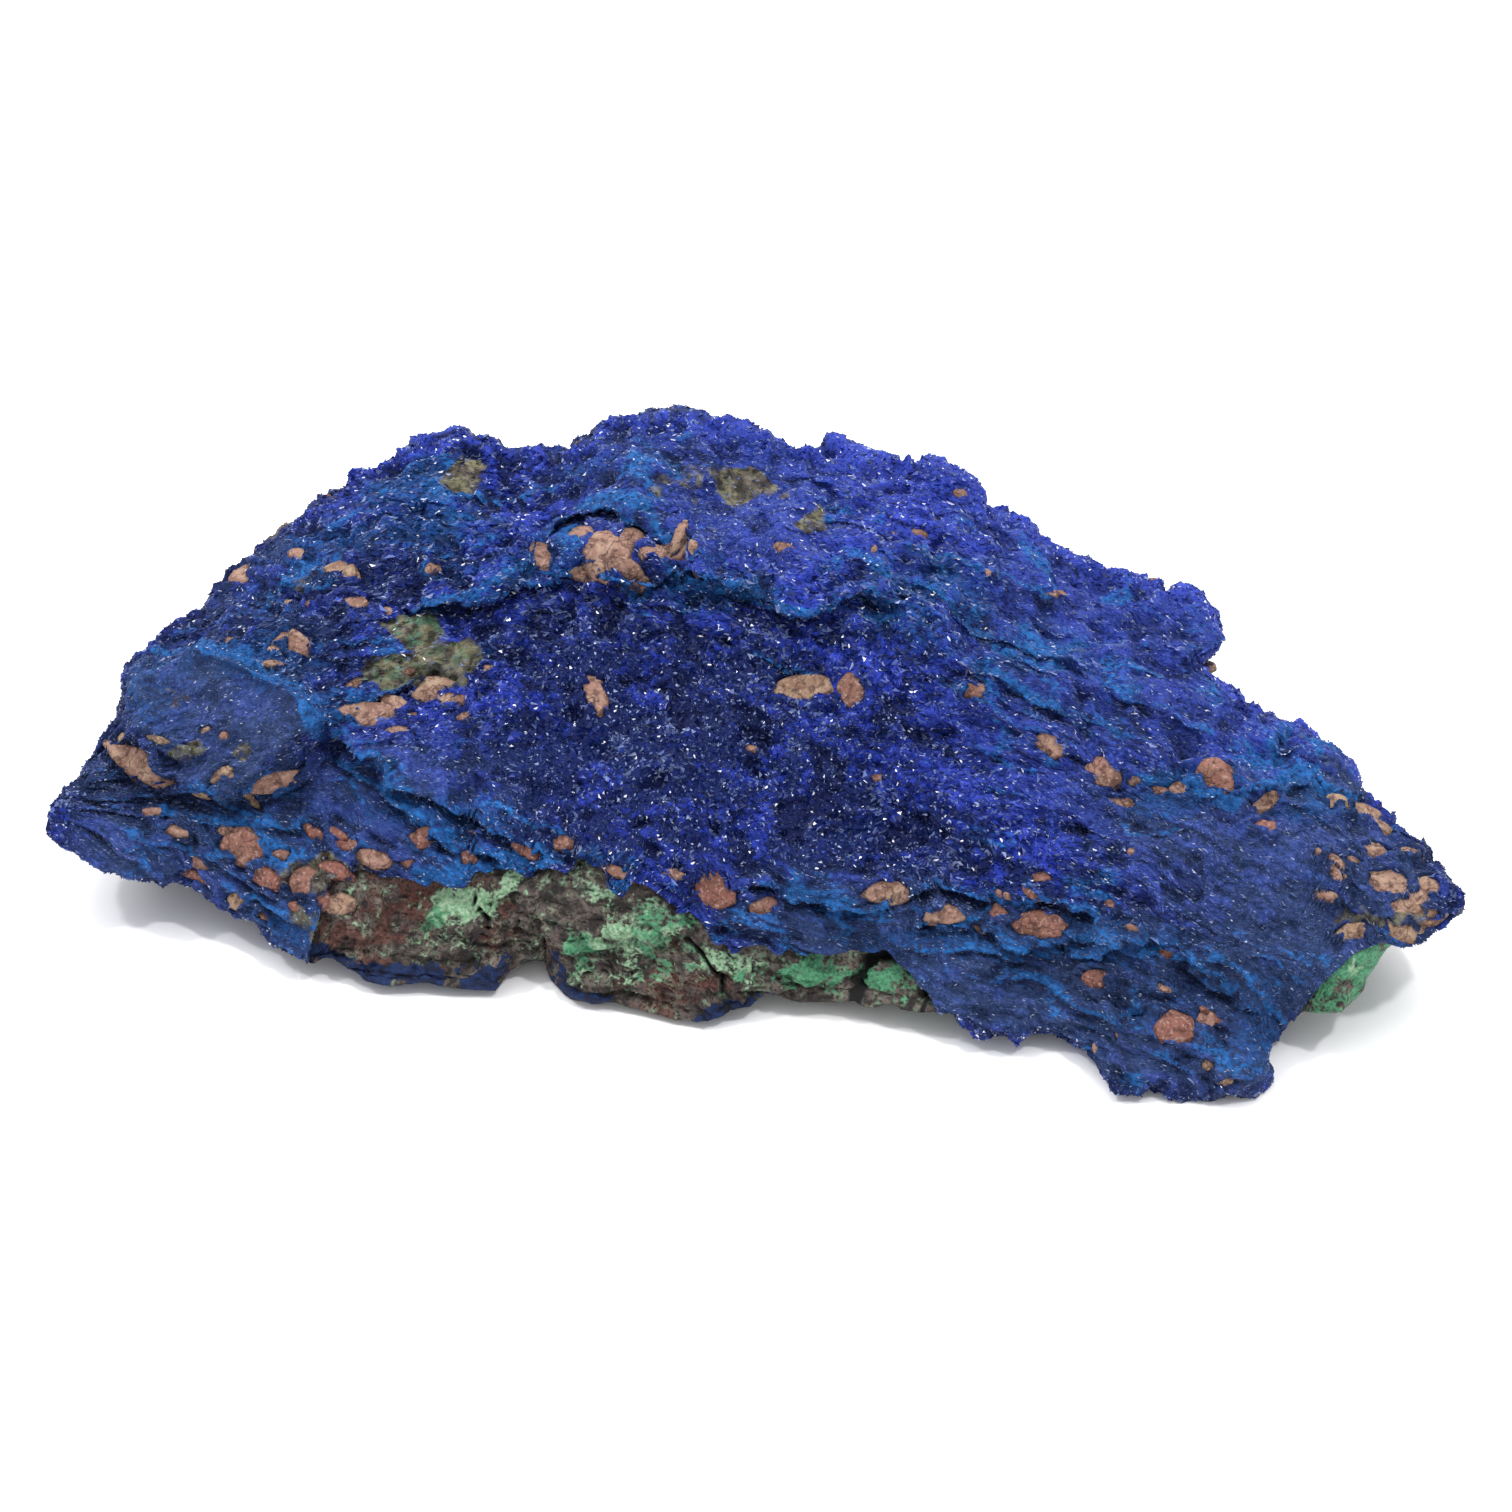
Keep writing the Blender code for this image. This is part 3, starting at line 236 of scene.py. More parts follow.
STRANDS = [  # (x, t) along a string of crust that stands up from it, its height, half width and brightness
    ([(-52.4, 8.4), (-47.9, 9.2), (-43.3, 8.4), (-40.3, 6.7), (-38.2, 4.8), (-37.1, 3.1),
      (-36.5, 0.5)], 0.7, 1.1, 1.7),
    ([(-38.2, 8.8), (-35.4, 9.9), (-31.4, 10.5), (-29.7, 11.2)], 0.5, 0.4, 0.8),
    ([(-36.0, 3.7), (-33.1, 5.4), (-30.0, 6.8), (-28.0, 7.6)], 1.2, 0.6, 1.1),
    ([(-29.9, 13.0), (-26.9, 13.0), (-24.1, 13.3), (-21.5, 14.7), (-18.6, 15.8),
      (-15.0, 15.4)], 0.8, 0.6, 1.0),
    ([(-30.0, 19.4), (-27.7, 19.7), (-25.0, 19.5)], 0.4, 0.6, 1.0),
    ([(-31.0, 25.0), (-29.4, 25.9), (-26.9, 25.4), (-26.3, 24.3)], 0.4, 1.2, 0.9),
    ([(-34.4, 22.6), (-32.7, 23.0), (-31.1, 22.5)], 0.4, 0.8, 0.8),
    ([(-42.6, 13.3), (-40.9, 15.0), (-38.8, 16.0), (-36.3, 17.0), (-33.3, 17.7)], 0.6, 0.5, 0.6),
    ([(-46.9, 10.9), (-44.3, 12.4), (-41.5, 12.9)], 0.5, 0.5, 0.5),
    ([(-30.3, 15.7), (-27.7, 16.5), (-24.3, 17.0), (-21.4, 18.0)], 0.5, 0.5, 0.6),
    ([(-9.9, 15.5), (-7.1, 14.9), (-3.6, 14.6), (-0.4, 13.9), (3.7, 12.7), (6.3, 11.7)], 0.8, 0.6, 1.1),
    ([(-0.4, 9.8), (1.2, 8.5), (2.7, 7.6), (5.9, 7.3)], 0.7, 0.35, 1.1),
    ([(6.5, 17.4), (9.0, 16.4), (12.2, 14.6), (15.3, 12.7), (18.5, 10.5), (21.6, 8.3),
      (26.4, 6.4)], 0.8, 0.8, 1.1),
    ([(16.9, 11.4), (21.6, 10.1), (24.8, 8.5), (27.7, 9.5), (29.9, 10.1), (34.2, 8.5)], 0.7, 0.5, 0.8),
    ([(22.5, 4.8), (25.9, 4.1), (29.7, 2.9), (33.5, 1.2)], 0.6, 0.5, 0.7),
    ([(27.1, 5.6), (31.0, 4.6), (34.8, 3.4), (38.6, 1.5)], 0.6, 0.5, 0.6),
    ([(30.6, -1.1), (33.2, -1.4), (37.4, -3.1), (39.7, -4.3), (40.9, -3.1), (43.2, -2.4),
      (46.0, -2.3), (48.9, -3.5), (51.8, -5.5)], 0.15, 0.9, 1.1),
    ([(29.4, -4.3), (31.1, -6.4), (33.5, -6.7), (36.1, -6.1)], 0.5, 0.4, 0.8),
    ([(25.2, -14.7), (29.6, -15.0), (34.1, -15.9), (36.2, -16.5), (37.6, -18.2),
      (39.7, -19.7)], 0.9, 0.6, 1.1),
    ([(20.8, -17.4), (23.7, -18.6), (26.7, -19.9), (29.3, -20.8), (32.6, -21.5)], 0.6, 0.5, 0.7),
    ([(36.2, -15.3), (38.2, -16.9), (41.2, -18.6), (43.1, -20.8), (43.6, -23.3),
      (43.1, -25.9)], 0.6, 0.8, 1.0),
    ([(-35.8, 0.3), (-33.3, -1.9), (-30.3, -3.7), (-27.5, -5.7), (-24.6, -6.9),
      (-22.0, -8.0)], 0.9, 0.6, 1.2),
    ([(-22.9, -3.7), (-20.1, -4.9), (-17.3, -5.7), (-14.1, -7.6)], 0.6, 0.5, 1.0),
    ([(-45.0, -11.4), (-42.6, -11.7), (-40.5, -12.9), (-37.1, -14.0), (-34.8, -15.1),
      (-32.7, -16.5)], 0.8, 0.6, 0.8),
    ([(-47.7, -10.6), (-45.2, -12.7), (-42.6, -14.8), (-39.7, -16.1), (-36.3, -17.8)], 0.7, 0.5, 0.6),
    ([(-51.6, -3.7), (-48.2, -5.0), (-43.9, -5.6), (-39.7, -5.3), (-36.3, -5.6)], 0.6, 0.5, 0.6),
    ([(-54.1, -5.4), (-50.7, -7.3), (-46.0, -8.0), (-42.2, -8.5)], 0.6, 0.5, 0.6),
    ([(10.6, -15.2), (14.8, -16.3), (19.5, -16.1), (23.3, -16.8)], 0.7, 0.5, 0.8),
    ([(12.7, -12.7), (16.5, -13.3), (19.9, -12.7)], 0.6, 0.5, 0.8),
    ([(-18.6, 19.0), (-16.6, 20.6), (-14.2, 21.4), (-11.8, 21.4), (-9.6, 20.6), (-7.6, 19.4),
      (-5.9, 17.6)], 0.6, 1.1, 1.4),
    ([(13.1, 16.7), (17.4, 15.0), (21.6, 13.5), (25.4, 12.3)], 0.6, 0.6, 0.7),
    ([(-29.6, -10.0), (-27.0, -9.7), (-24.0, -9.2), (-21.0, -8.7), (-18.0, -8.5),
      (-15.6, -8.4)], 0.3, 1.3, 1.8),
    ([(-15.9, 18.7), (-15.7, 17.6), (-15.4, 16.5)], 0.2, 1.7, 1.6),
    ([(-26.4, 22.6), (-23.4, 23.2), (-20.0, 22.6), (-16.8, 23.4)], 0.4, 0.6, 0.8),
    ([(-38.4, 19.4), (-35.6, 20.4), (-32.0, 20.3)], 0.4, 0.5, 0.8),
]
AZURE_PATCHES = [  # x, t, half width, half height, strength: where the blue is paler and greener
    (-30.0, 24.0, 5.0, 3.0, 1.0), (-27.0, 19.5, 5.5, 2.2, 1.0), (-36.0, 18.0, 6.0, 3.0, 0.7),
    (-52.0, 6.0, 4.0, 4.0, 0.5), (-42.0, 8.0, 7.0, 2.4, 0.9), (-18.0, 15.5, 9.0, 2.0, 0.6),
    (-3.0, 14.5, 7.0, 1.6, 0.7), (-14.0, 24.5, 5.0, 2.0, 0.5), (14.0, 12.5, 8.0, 4.0, 0.7),
    (24.0, 8.0, 6.0, 3.0, 0.6), (30.0, 10.0, 6.0, 3.0, 0.3), (36.0, -2.5, 8.0, 2.6, 0.8),
    (46.0, -4.0, 5.0, 2.0, 0.7), (28.0, -15.5, 9.0, 2.0, 0.7), (14.0, -15.5, 7.0, 2.0, 0.6),
    (42.0, -23.0, 2.4, 5.0, 0.9), (34.0, -20.0, 8.0, 4.0, 0.35), (-27.0, -5.0, 7.0, 2.4, 0.8),
    (-43.0, -6.0, 9.0, 3.0, 0.4), (-38.0, -14.0, 8.0, 3.0, 0.6), (-15.0, -8.5, 8.0, 1.2, 0.7),
    (-16.5, 18.0, 2.0, 1.2, 0.8), (40.0, 4.0, 6.0, 2.0, 0.3), (-22.0, -10.0, 6.0, 1.2, 0.7),
]
CRACKS = [  # (x, t) along a crack in the rock, and its half width
    ([(12.5, -16.0), (10.8, -16.6), (9.4, -16.9), (8.8, -17.7), (8.3, -19.0), (8.5, -22.5)], 0.4),
    ([(13.4, -18.2), (13.8, -20.6), (13.5, -22.4)], 0.24),
    ([(-6.0, -15.5), (-3.0, -18.6), (-2.4, -22.5)], 0.16),
    ([(-24.0, -11.5), (-22.5, -14.0), (-22.8, -15.0)], 0.14),
]
FILMS = [  # x, t, width, height and strength of a patch of malachite, or below 0 of bare rock
    (-24.6, -12.4, 4.0, 2.0, 1.0), (-28.0, -15.0, 3.0, 1.2, 0.3), (-23.0, -16.4, 3.5, 1.0, 0.6),
    (-15.0, -15.8, 2.5, 1.2, 0.7), (-9.0, -14.4, 4.5, 3.0, 0.8), (-2.0, -17.6, 4.0, 2.0, 0.8),
    (4.0, -18.4, 3.5, 1.3, 0.75), (11.4, -18.6, 2.6, 1.3, 0.8), (15.5, -21.2, 3.0, 1.4, 0.6),
    (8.0, -21.0, 5.0, 0.8, -0.4), (50.0, -17.0, 7.0, 4.0, 1.0), (-33.0, -13.0, 3.5, 4.0, -0.6),
    (-29.0, -17.4, 7.0, 1.4, -0.7), (-19.0, -14.0, 3.0, 2.5, -0.6), (-10.0, -20.6, 8.0, 1.4, -0.8),
    (-2.0, -21.8, 5.0, 1.0, -0.7),
]
# blue under the rock: from x, to x, height
HEMS = [(-38.0, -21.0, 2.4), (-5.5, 1.5, 1.5), (-18.0, -12.0, 0.7)]
DRUSE = [  # piece, first and last column of the grid, crystals, their size in mm, seed
    ("druse_plateau", 0, 58, 45000, 0.28, 11),
    ("druse_upper_face", 57, 108, 45000, 0.30, 12),
    ("druse_lower_face", 107, 158, 45000, 0.29, 13),
    ("druse_foot", 157, FRONT_COLS, 45000, 0.26, 14),
    ("druse_back", FRONT_COLS + SHEET_COLS, FRONT_COLS + SHEET_COLS + BACK_COLS, 40000, 0.36, 15),
    ("druse_ends", FRONT_COLS - 1, FRONT_COLS + SHEET_COLS + 1, 7000, 0.36, 16),
]


def step01(x, low, high):
    """0 below low, 1 above high, smooth between."""
    w = np.clip((x - low) / (high - low), 0, 1)
    return w * w * (3 - 2 * w)


def between(x, low, full, fade, end):
    """1 from full to fade, falling smoothly to 0 at low and at end."""
    return step01(x, low, full) * (1 - step01(x, fade, end))


def bell(x, middle, width):
    return np.exp(-(((x - middle) / width) ** 2))


def inland(x, low, high):
    """0 at the specimen's two ends, and 1 from `high` mm inwards."""
    return step01(HALF_LENGTH - np.abs(x), low, high)


def oval(x, t, middle_x, middle_t, half_w, half_h):
    """Distance from an oval's middle, where its edge is 1."""
    return np.hypot((x - middle_x) / half_w, (t - middle_t) / half_h)


def unit(v):
    return v / np.maximum(np.linalg.norm(v, axis=-1, keepdims=True), 1e-9)


def rail(points, x, column=1):
    table = np.array(points)
    return np.interp(x, table[:, 0], table[:, column])


def smoothed(values, sigma, axis, periodic=False):
    reach = int(3 * sigma) + 1
    kernel = np.exp(-0.5 * (np.arange(-reach, reach + 1) / sigma) ** 2)
    kernel /= kernel.sum()
    pad = [(0, 0)] * values.ndim
    pad[axis] = (reach, reach)
    padded = np.pad(values, pad, mode="wrap" if periodic else "edge")
    count = values.shape[axis]
    return sum(w * np.take(padded, np.arange(i, i + count), axis=axis) for i, w in enumerate(kernel))


# ---- the loft through the rails ----
def depth_at(t, z):
    """Y of the point that lies at t on the layout plane's scale and at real height z."""
    return (t - (z - PIVOT_Z) * COS) / SIN


def t_of(p):
    return p[..., 1] * SIN + (p[..., 2] - PIVOT_Z) * COS


BASE_X, BASE_V = np.linspace(-HALF_LENGTH, HALF_LENGTH, 481), 256


def base_table():
    """(y, z) of the plain loft through the rails, on a dense grid of stations and loop positions."""
    x = BASE_X
    girth = np.sqrt(np.clip(1 - (np.clip(np.abs(x) - 44, 0, None) / 16.2) ** 2, 0, 1))
    crest_t, crest_z = rail(CREST, x), rail(CREST_Z, x)
    foot_t, foot_z = rail(FOOT, x), rail(FOOT_Z, x)
    crest_y, foot_y = depth_at(crest_t, crest_z), depth_at(foot_t, foot_z)
    rails = [(crest_y, crest_z)]
    for table, lowest, highest in ((SHOULDER, 0.45, 0.8), (KNEE, 0.12, 0.55)):
        t, z = (smoothed(rail(table, x, c), 10, 0) for c in (1, 2))
        share = (t - foot_t) / np.maximum(crest_t - foot_t, 1e-6)
        t = foot_t + (crest_t - foot_t) * np.clip(share, lowest, highest)
        rails.append((depth_at(t, z), z))
    rails += [
        (foot_y, foot_z),
        (foot_y + 4.5 * girth, np.maximum(foot_z - 2.5 * girth, -0.6)),
        (crest_y - 3 * girth, (1 - girth**2) * foot_z + 0.5 - 1.1 * girth),
        (crest_y + 5 * girth, 5 * girth + (1 - girth) * crest_z * 0.6),
        (crest_y + 5.5 * girth, crest_z - 7.5 * girth),
        (crest_y, crest_z),
    ]
    rails = [np.stack(pair, 1) for pair in rails]
    v = np.arange(BASE_V) / BASE_V
    table = np.empty((len(x), BASE_V, 2))
    for k in range(len(RAIL_V) - 1):
        inside = (v >= RAIL_V[k]) & (v < RAIL_V[k + 1])
        w = ((v[inside] - RAIL_V[k]) / (RAIL_V[k + 1] - RAIL_V[k]))[None, :, None]
        table[:, inside] = rails[k][:, None] * (1 - w) + rails[k + 1][:, None] * w
    ends = [0, -1]
    table[ends] = rails[0][ends][:, None]
    table = smoothed(table, 2.6, 1, True)
    hidden = ((v > 0.52) & (v < 0.97))[None, :, None]
    table = np.where(hidden, smoothed(table, 3.0, 0), table)
    table[ends] = rails[0][ends][:, None]
    return table


BASE = base_table()


def base(x, v):
    """The plain loft at station x and loop position v, between the entries of its table."""
    fx = np.clip((x + HALF_LENGTH) / (2 * HALF_LENGTH), 0, 1 - 1e-9) * (len(BASE_X) - 1)
    i = fx.astype(int)
    wx = (fx - i)[..., None]
    fv = (v % 1.0) * BASE_V
    j = fv.astype(int) % BASE_V
    wv = (fv - np.floor(fv))[..., None]
    k = (j + 1) % BASE_V
    low = BASE[i, j] * (1 - wx) + BASE[i + 1, j] * wx
    high = BASE[i, k] * (1 - wx) + BASE[i + 1, k] * wx
    return np.concatenate([x[..., None], low * (1 - wv) + high * wv], -1)


# ---- noise ----
def hashed(i, j, k, seed):
    """A number from 0 to 1 for each whole-number place."""
    n = (i * 73856093) ^ (j * 19349663) ^ (k * 83492791) ^ (seed * 2654435761)
    n = (n & 0xFFFFFFFF).astype(np.uint64)
    mask = np.uint64(0xFFFFFFFF)
    n = ((n ^ (n >> np.uint64(15))) * np.uint64(0x2C1B3C6D)) & mask
    n = ((n ^ (n >> np.uint64(12))) * np.uint64(0x297A2D39)) & mask
    n = n ^ (n >> np.uint64(15))
    return n.astype(np.float64) / 4294967295.0


def noise(p, scale, seed):
    """Smooth value noise from -1 to 1 with one lump to every `scale`."""
    q = p / scale
    cell = np.floor(q)
    i = cell.astype(np.int64)
    w = q - cell
    w = w * w * w * (w * (w * 6 - 15) + 10)
    total = np.zeros(p.shape[:-1])
    for a, b, c in itertools.product((0, 1), repeat=3):
        weight = np.abs(1 - a - w[..., 0]) * np.abs(1 - b - w[..., 1]) * np.abs(1 - c - w[..., 2])
        total += weight * hashed(i[..., 0] + a, i[..., 1] + b, i[..., 2] + c, seed)
    return total * 2 - 1


def fractal(p, scale, octaves, seed):
    shares = [0.5**o for o in range(octaves)]
    return sum(s * noise(p + 17.3 * o, scale * s, seed + o) for o, s in enumerate(shares)) / sum(shares)


def ridged(p, scale, octaves, seed):
    """Noise with sharp crests."""
    shares = [0.5**o for o in range(octaves)]
    layers = (s * (1 - 2 * np.abs(noise(p + 9.1 * o, scale * s, seed + o))) for o, s in enumerate(shares))
    return sum(layers) / sum(shares)


def clumps(p, scale, seed):
    """Cellular noise: how far the nearest of one random point per cell is, in cells, and its number."""
    q = p / scale
    cell = np.floor(q).astype(np.int64)
    best, who = np.full(p.shape[:-1], 9.0), np.zeros(p.shape[:-1])
    for step in itertools.product((-1, 0, 1), repeat=3):
        i, j, k = (cell[..., axis] + step[axis] for axis in range(3))
        d = sum((n + hashed(i, j, k, seed + s) - q[..., s]) ** 2 for s, n in enumerate((i, j, k)))
        nearer = d < best
        best = np.where(nearer, d, best)
        who = np.where(nearer, hashed(i, j, k, seed + 7), who)
    return np.sqrt(best), who


# ---- the form that the solids share ----
def laid(x, t=0.0):
    """Places on the layout as points, for noise."""
    return np.stack([x, t + 0 * x, 0 * x], -1)


def line_distance(line, x, t):
    """Distance to a line of points, the side (+ above one that runs to +X) and how far along, 0 to 1."""
    points = np.array(line, float)
    lengths = np.hypot(*(points[1:] - points[:-1]).T)
    start = np.concatenate([[0], np.cumsum(lengths)])
    best, side, along = np.full(x.shape, 1e9), np.zeros(x.shape), np.zeros(x.shape)
    for k in range(len(points) - 1):
        (ax, at), (dx, dt) = points[k], points[k + 1] - points[k]
        w = np.clip(((x - ax) * dx + (t - at) * dt) / lengths[k] ** 2, 0, 1)
        rx, rt = x - ax - w * dx, t - at - w * dt
        r = np.hypot(rx, rt)
        nearer = r < best
        best = np.where(nearer, r, best)
        side = np.where(nearer, np.sign(dx * rt - dt * rx), side)
        along = np.where(nearer, (start[k] + w * lengths[k]) / start[-1], along)
    return best, side, along


def faded(along, run):
    """1 along a line, falling to 0 at its two ends."""
    return step01(along, 0, run) * step01(1 - along, 0, run)


def wandered(x, t, pushes=((0.9, 3.1), (0.35, 1.1)), seed=101):
    """(x, t) pushed about a little, so that nothing laid out here has a clean edge."""
    flat, moved = laid(x, t), [x, t]
    for layer, (push, scale) in enumerate(pushes):
        moved = [m + push * noise(flat, scale, seed + 2 * layer + k) for k, m in enumerate(moved)]
    return moved


def relief(x, t):
    """Height of the ledges, the hollows, the boss and the flow ridges, out of the layout plane."""
    wx, wt = wandered(x, t)
    height = np.zeros_like(x)
    for line, lip, lip_run, drop, drop_run, _ in LEDGES:
        r, side, along = line_distance(line, wx, wt)
        over = step01(r * side, -0.35, 0.15)
        rise = over * lip * np.exp(-r / lip_run) - (1 - over) * drop * np.exp(-r / drop_run)
        height += faded(along, 0.07) * rise
    for hx, ht, half_w, half_h, depth in HOLLOWS:
        height -= depth * np.exp(-(((wx - hx) / half_w) ** 2 + ((wt - ht) / half_h) ** 2) * 1.2)
    q = oval(wx, wt, *BOSS)
    height += 3.4 * (1 - step01(q, 0.85, 1.12)) + 0.8 * bell(q, 0.93, 0.12)
    height -= 1.2 * bell(q, 1.25, 0.18)
    for slope, pitch, run, seed, size, where in (
        (0.42, 1.6, 11.0, 31, 0.8, step01(x, -12, 14) * step01(t, -9, -2)),
        (0.38, 1.9, 12.0, 33, 0.6, step01(x, 12, 18) * (1 - step01(t, -16, -13))),
    ):
        bend = 0.5 * noise(laid(x, t), 6, seed + 9)
        flow = laid((t + slope * x) / pitch + bend, (x - slope * t) / run)
        height += size * where * ridged(flow, 1.0, 2, seed)
    return height


def outer(x, v):
    """The form that the solids share: the skin at station x and loop position v, with its normal."""
    h = 0.004
    p = base(x, v)
    along_v = base(x, v + h) - base(x, v - h)
    along_x = base(np.minimum(x + 0.6, HALF_LENGTH), v) - base(np.maximum(x - 0.6, -HALF_LENGTH), v)
    n = unit(np.cross(along_v, along_x))
    front = between(v % 1.0, -0.001, 0.05, 0.43, 0.475) * inland(x, 0, 5)
    rise = 3.2 * fractal(p, 10.0, 2, 51)
    terraces = np.floor(rise) + step01(rise - np.floor(rise), 0.3, 0.7)
    lumps = 1.5 * fractal(p, 13.0, 2, 3) + 0.8 * ridged(p, 6.0, 2, 11) + 0.5 * fractal(p, 2.6, 2, 21)
    lumps = lumps + 0.4 * terraces
    p = p + (relief(p[..., 0], t_of(p)) * front)[..., None] * OUTWARD
    p = p + (lumps * (0.3 + 0.7 * inland(x, 0, 14)))[..., None] * n
    p[..., 2] = np.maximum(p[..., 2], 0.0)
    return p, n


def parting_table():
    """Loop positions of the parting's front and back edges, on the stations of BASE_X."""
    x = BASE_X
    v = np.linspace(0.02, 0.46, 200)
    t = t_of(base(np.repeat(x[:, None], len(v), 1), np.repeat(v[None], len(x), 0)))
    crust_v, tip_v = (
        np.array([np.interp(-a, -row, v) for a, row in zip(rail(edge, x), t)])
        for edge in (CRUST_EDGE, TIP_EDGE)
    )
    under = 0.552 + 0.012 * np.sin(x * 0.37)
    band = between(x, -40.5, -35.0, 14.0, 18.5)
    end = between(x, 40.0, 48.5, 53.0, 58.0)
    front = under * (1 - band) * (1 - end) + crust_v * band + tip_v * end
    back = 0.80 + 0.015 * np.sin(x * 0.21 + 1) + 0.01 * np.sin(x * 0.53)
    return smoothed(front, 4.0, 0), back


PARTING = parting_table()


def parting(x):
    """The parting's front and back edges at station x, and how fully the cavity between them is there."""
    front, back = (np.interp(x, BASE_X, edge) for edge in PARTING)
    cavity = between(x, CAVITY_FROM, CAVITY_FROM + 5, CAVITY_TO - 5, CAVITY_TO)
    front = front + cavity * (0.006 * noise(laid(x), 2.3, 71) + 0.005 * noise(laid(x), 0.9, 72))
    return front, back, cavity


def sheet(x, shift):
    """The sheet between the azurite and the rock, from the front edge to the back, moved by `shift`."""
    w = np.repeat((0.5 - 0.5 * np.cos(np.pi * np.linspace(0, 1, SHEET_COLS + 2)))[None], len(x), 0)
    front, back, cavity = (a[:, None] for a in parting(x))
    first, _ = outer(x[:, None], front)
    last, _ = outer(x[:, None], back)
    share = w[..., None]
    inside = first * (1 - share) + last * share
    bow = SHEET_BOW * inland(x, 4, 22)[:, None] * step01(front, 0.46, 0.54)
    inside[..., 2] += bow * np.sqrt(np.sin(np.pi * np.clip(w, 0, 1)))
    skin, _ = outer(np.repeat(x[:, None], w.shape[-1], 1), front + (back - front) * w)
    p = skin * (1 - cavity[..., None]) + inside * cavity[..., None]
    slope = unit(np.gradient(p[..., 1:], axis=1))
    p[..., 1] += shift * slope[..., 1]
    p[..., 2] -= shift * slope[..., 0]
    return p[:, 1:-1]


def stations(count):
    """Stations along X, closer at the ends and where the crust's front edge climbs."""
    x = np.linspace(-HALF_LENGTH, HALF_LENGTH, 2401)
    wanted = 1 + 0.9 * (x / HALF_LENGTH) ** 2
    wanted += 1.3 * bell(x, -38, 3.6) + 1.3 * bell(x, 15.5, 3.2)
    total = np.cumsum(wanted)
    return np.interp(np.linspace(total[0], total[-1], count)[1:-1], total, x)


def flow_of(x, t):
    """A number that stays the same along each line of the crust's flow. Lines climb at the left end and fall
    beyond the middle; below the left ledge they fall too."""
    at = np.linspace(-62, 62, 249)
    climb = np.cumsum(rail(FLOW_RISE, at)) * (at[1] - at[0])
    upper = t - np.interp(x, at, climb)
    lower = t + 0.5 * (x + 35) - np.interp(-35, at, climb)
    w = step01(-t, -1, 6) * (1 - step01(x, -16, -4))
    return upper * (1 - w) + lower * w


def flow_slope(x, t):
    """Rise of the flow lines, up the layout for each millimetre along X."""
    rise = np.maximum(flow_of(x, t + 0.4) - flow_of(x, t - 0.4), 0.3)
    return (flow_of(x - 0.4, t) - flow_of(x + 0.4, t)) / rise


# ---- where the clay fragments sit ----
def seat(x, v, turn):
    """A fragment's place on the skin, and its axes: across, up the slope and out."""

    def skin(a, b):
        return outer(np.array([a]), np.array([b]))[0]

    p, smooth = outer(np.array([x]), np.array([v]))
    n = np.cross(skin(x, v + 0.008) - skin(x, v - 0.008), skin(x + 1.4, v) - skin(x - 1.4, v))[0]
    n = 0.5 * n / np.linalg.norm(n) + smooth[0]
    n = n / np.linalg.norm(n)
    up = UPSLOPE - n * (n @ UPSLOPE)
    up /= np.linalg.norm(up)
    across = np.cross(up, n)
    c, s = math.cos(math.radians(turn)), math.sin(math.radians(turn))
    return p[0], np.stack([c * across + s * up, c * up - s * across, n])


def fall(points):
    x, y = points[..., 0], points[..., 1]
    return np.stack([x, y, x * x, x * y, y * y], -1)


def bend_of(at, axes, x, v, w, h):
    """How the skin falls away from a seat: coefficients of X, Y, X², XY and Y² in the seat's own frame."""
    a, b = (k.ravel() * max(w, h) for k in np.meshgrid(np.linspace(-0.7, 0.7, 5), np.linspace(-0.7, 0.7, 5)))
    girth = np.linalg.norm(np.diff(outer(np.full(2, x), np.array([v - 0.01, v + 0.01]))[0], axis=0)) / 0.02
    d = (outer(x + a, v + b / girth)[0] - at) @ axes.T
    bend = np.linalg.lstsq(fall(d), d[:, 2], rcond=None)[0]
    bend[2:] = np.clip(bend[2:], -4.0 / max(w, h) ** 2, 1.0 / max(w, h) ** 2)
    return bend


def loop_position(x, t):
    """Where the front of the skin at station x crosses t."""
    v = np.linspace(0.0, 0.5, 400)
    skin, _ = outer(np.full(v.shape, x), v)
    return v[np.argmin(np.abs(t_of(skin) - t) + 0.002 * np.arange(400))]


def broken_outline(seed):
    """A polygon's side directions over their distances, in halves of the fragment's width and height, and a
    bite's place in its edge."""
    rng = np.random.default_rng(900 + seed)
    sides = int(rng.integers(4, 6))
    spin = 2 * np.pi * (np.arange(sides) + rng.uniform(-0.34, 0.34, sides)) / sides + rng.uniform(0, 6.28)
    bite = rng.uniform(0, 6.28)
    return (
        np.stack([np.cos(spin), np.sin(spin)]) / rng.uniform(0.72, 1.08, sides),
        np.array([math.cos(bite), math.sin(bite)]) * rng.uniform(0.75, 1.0),
    )


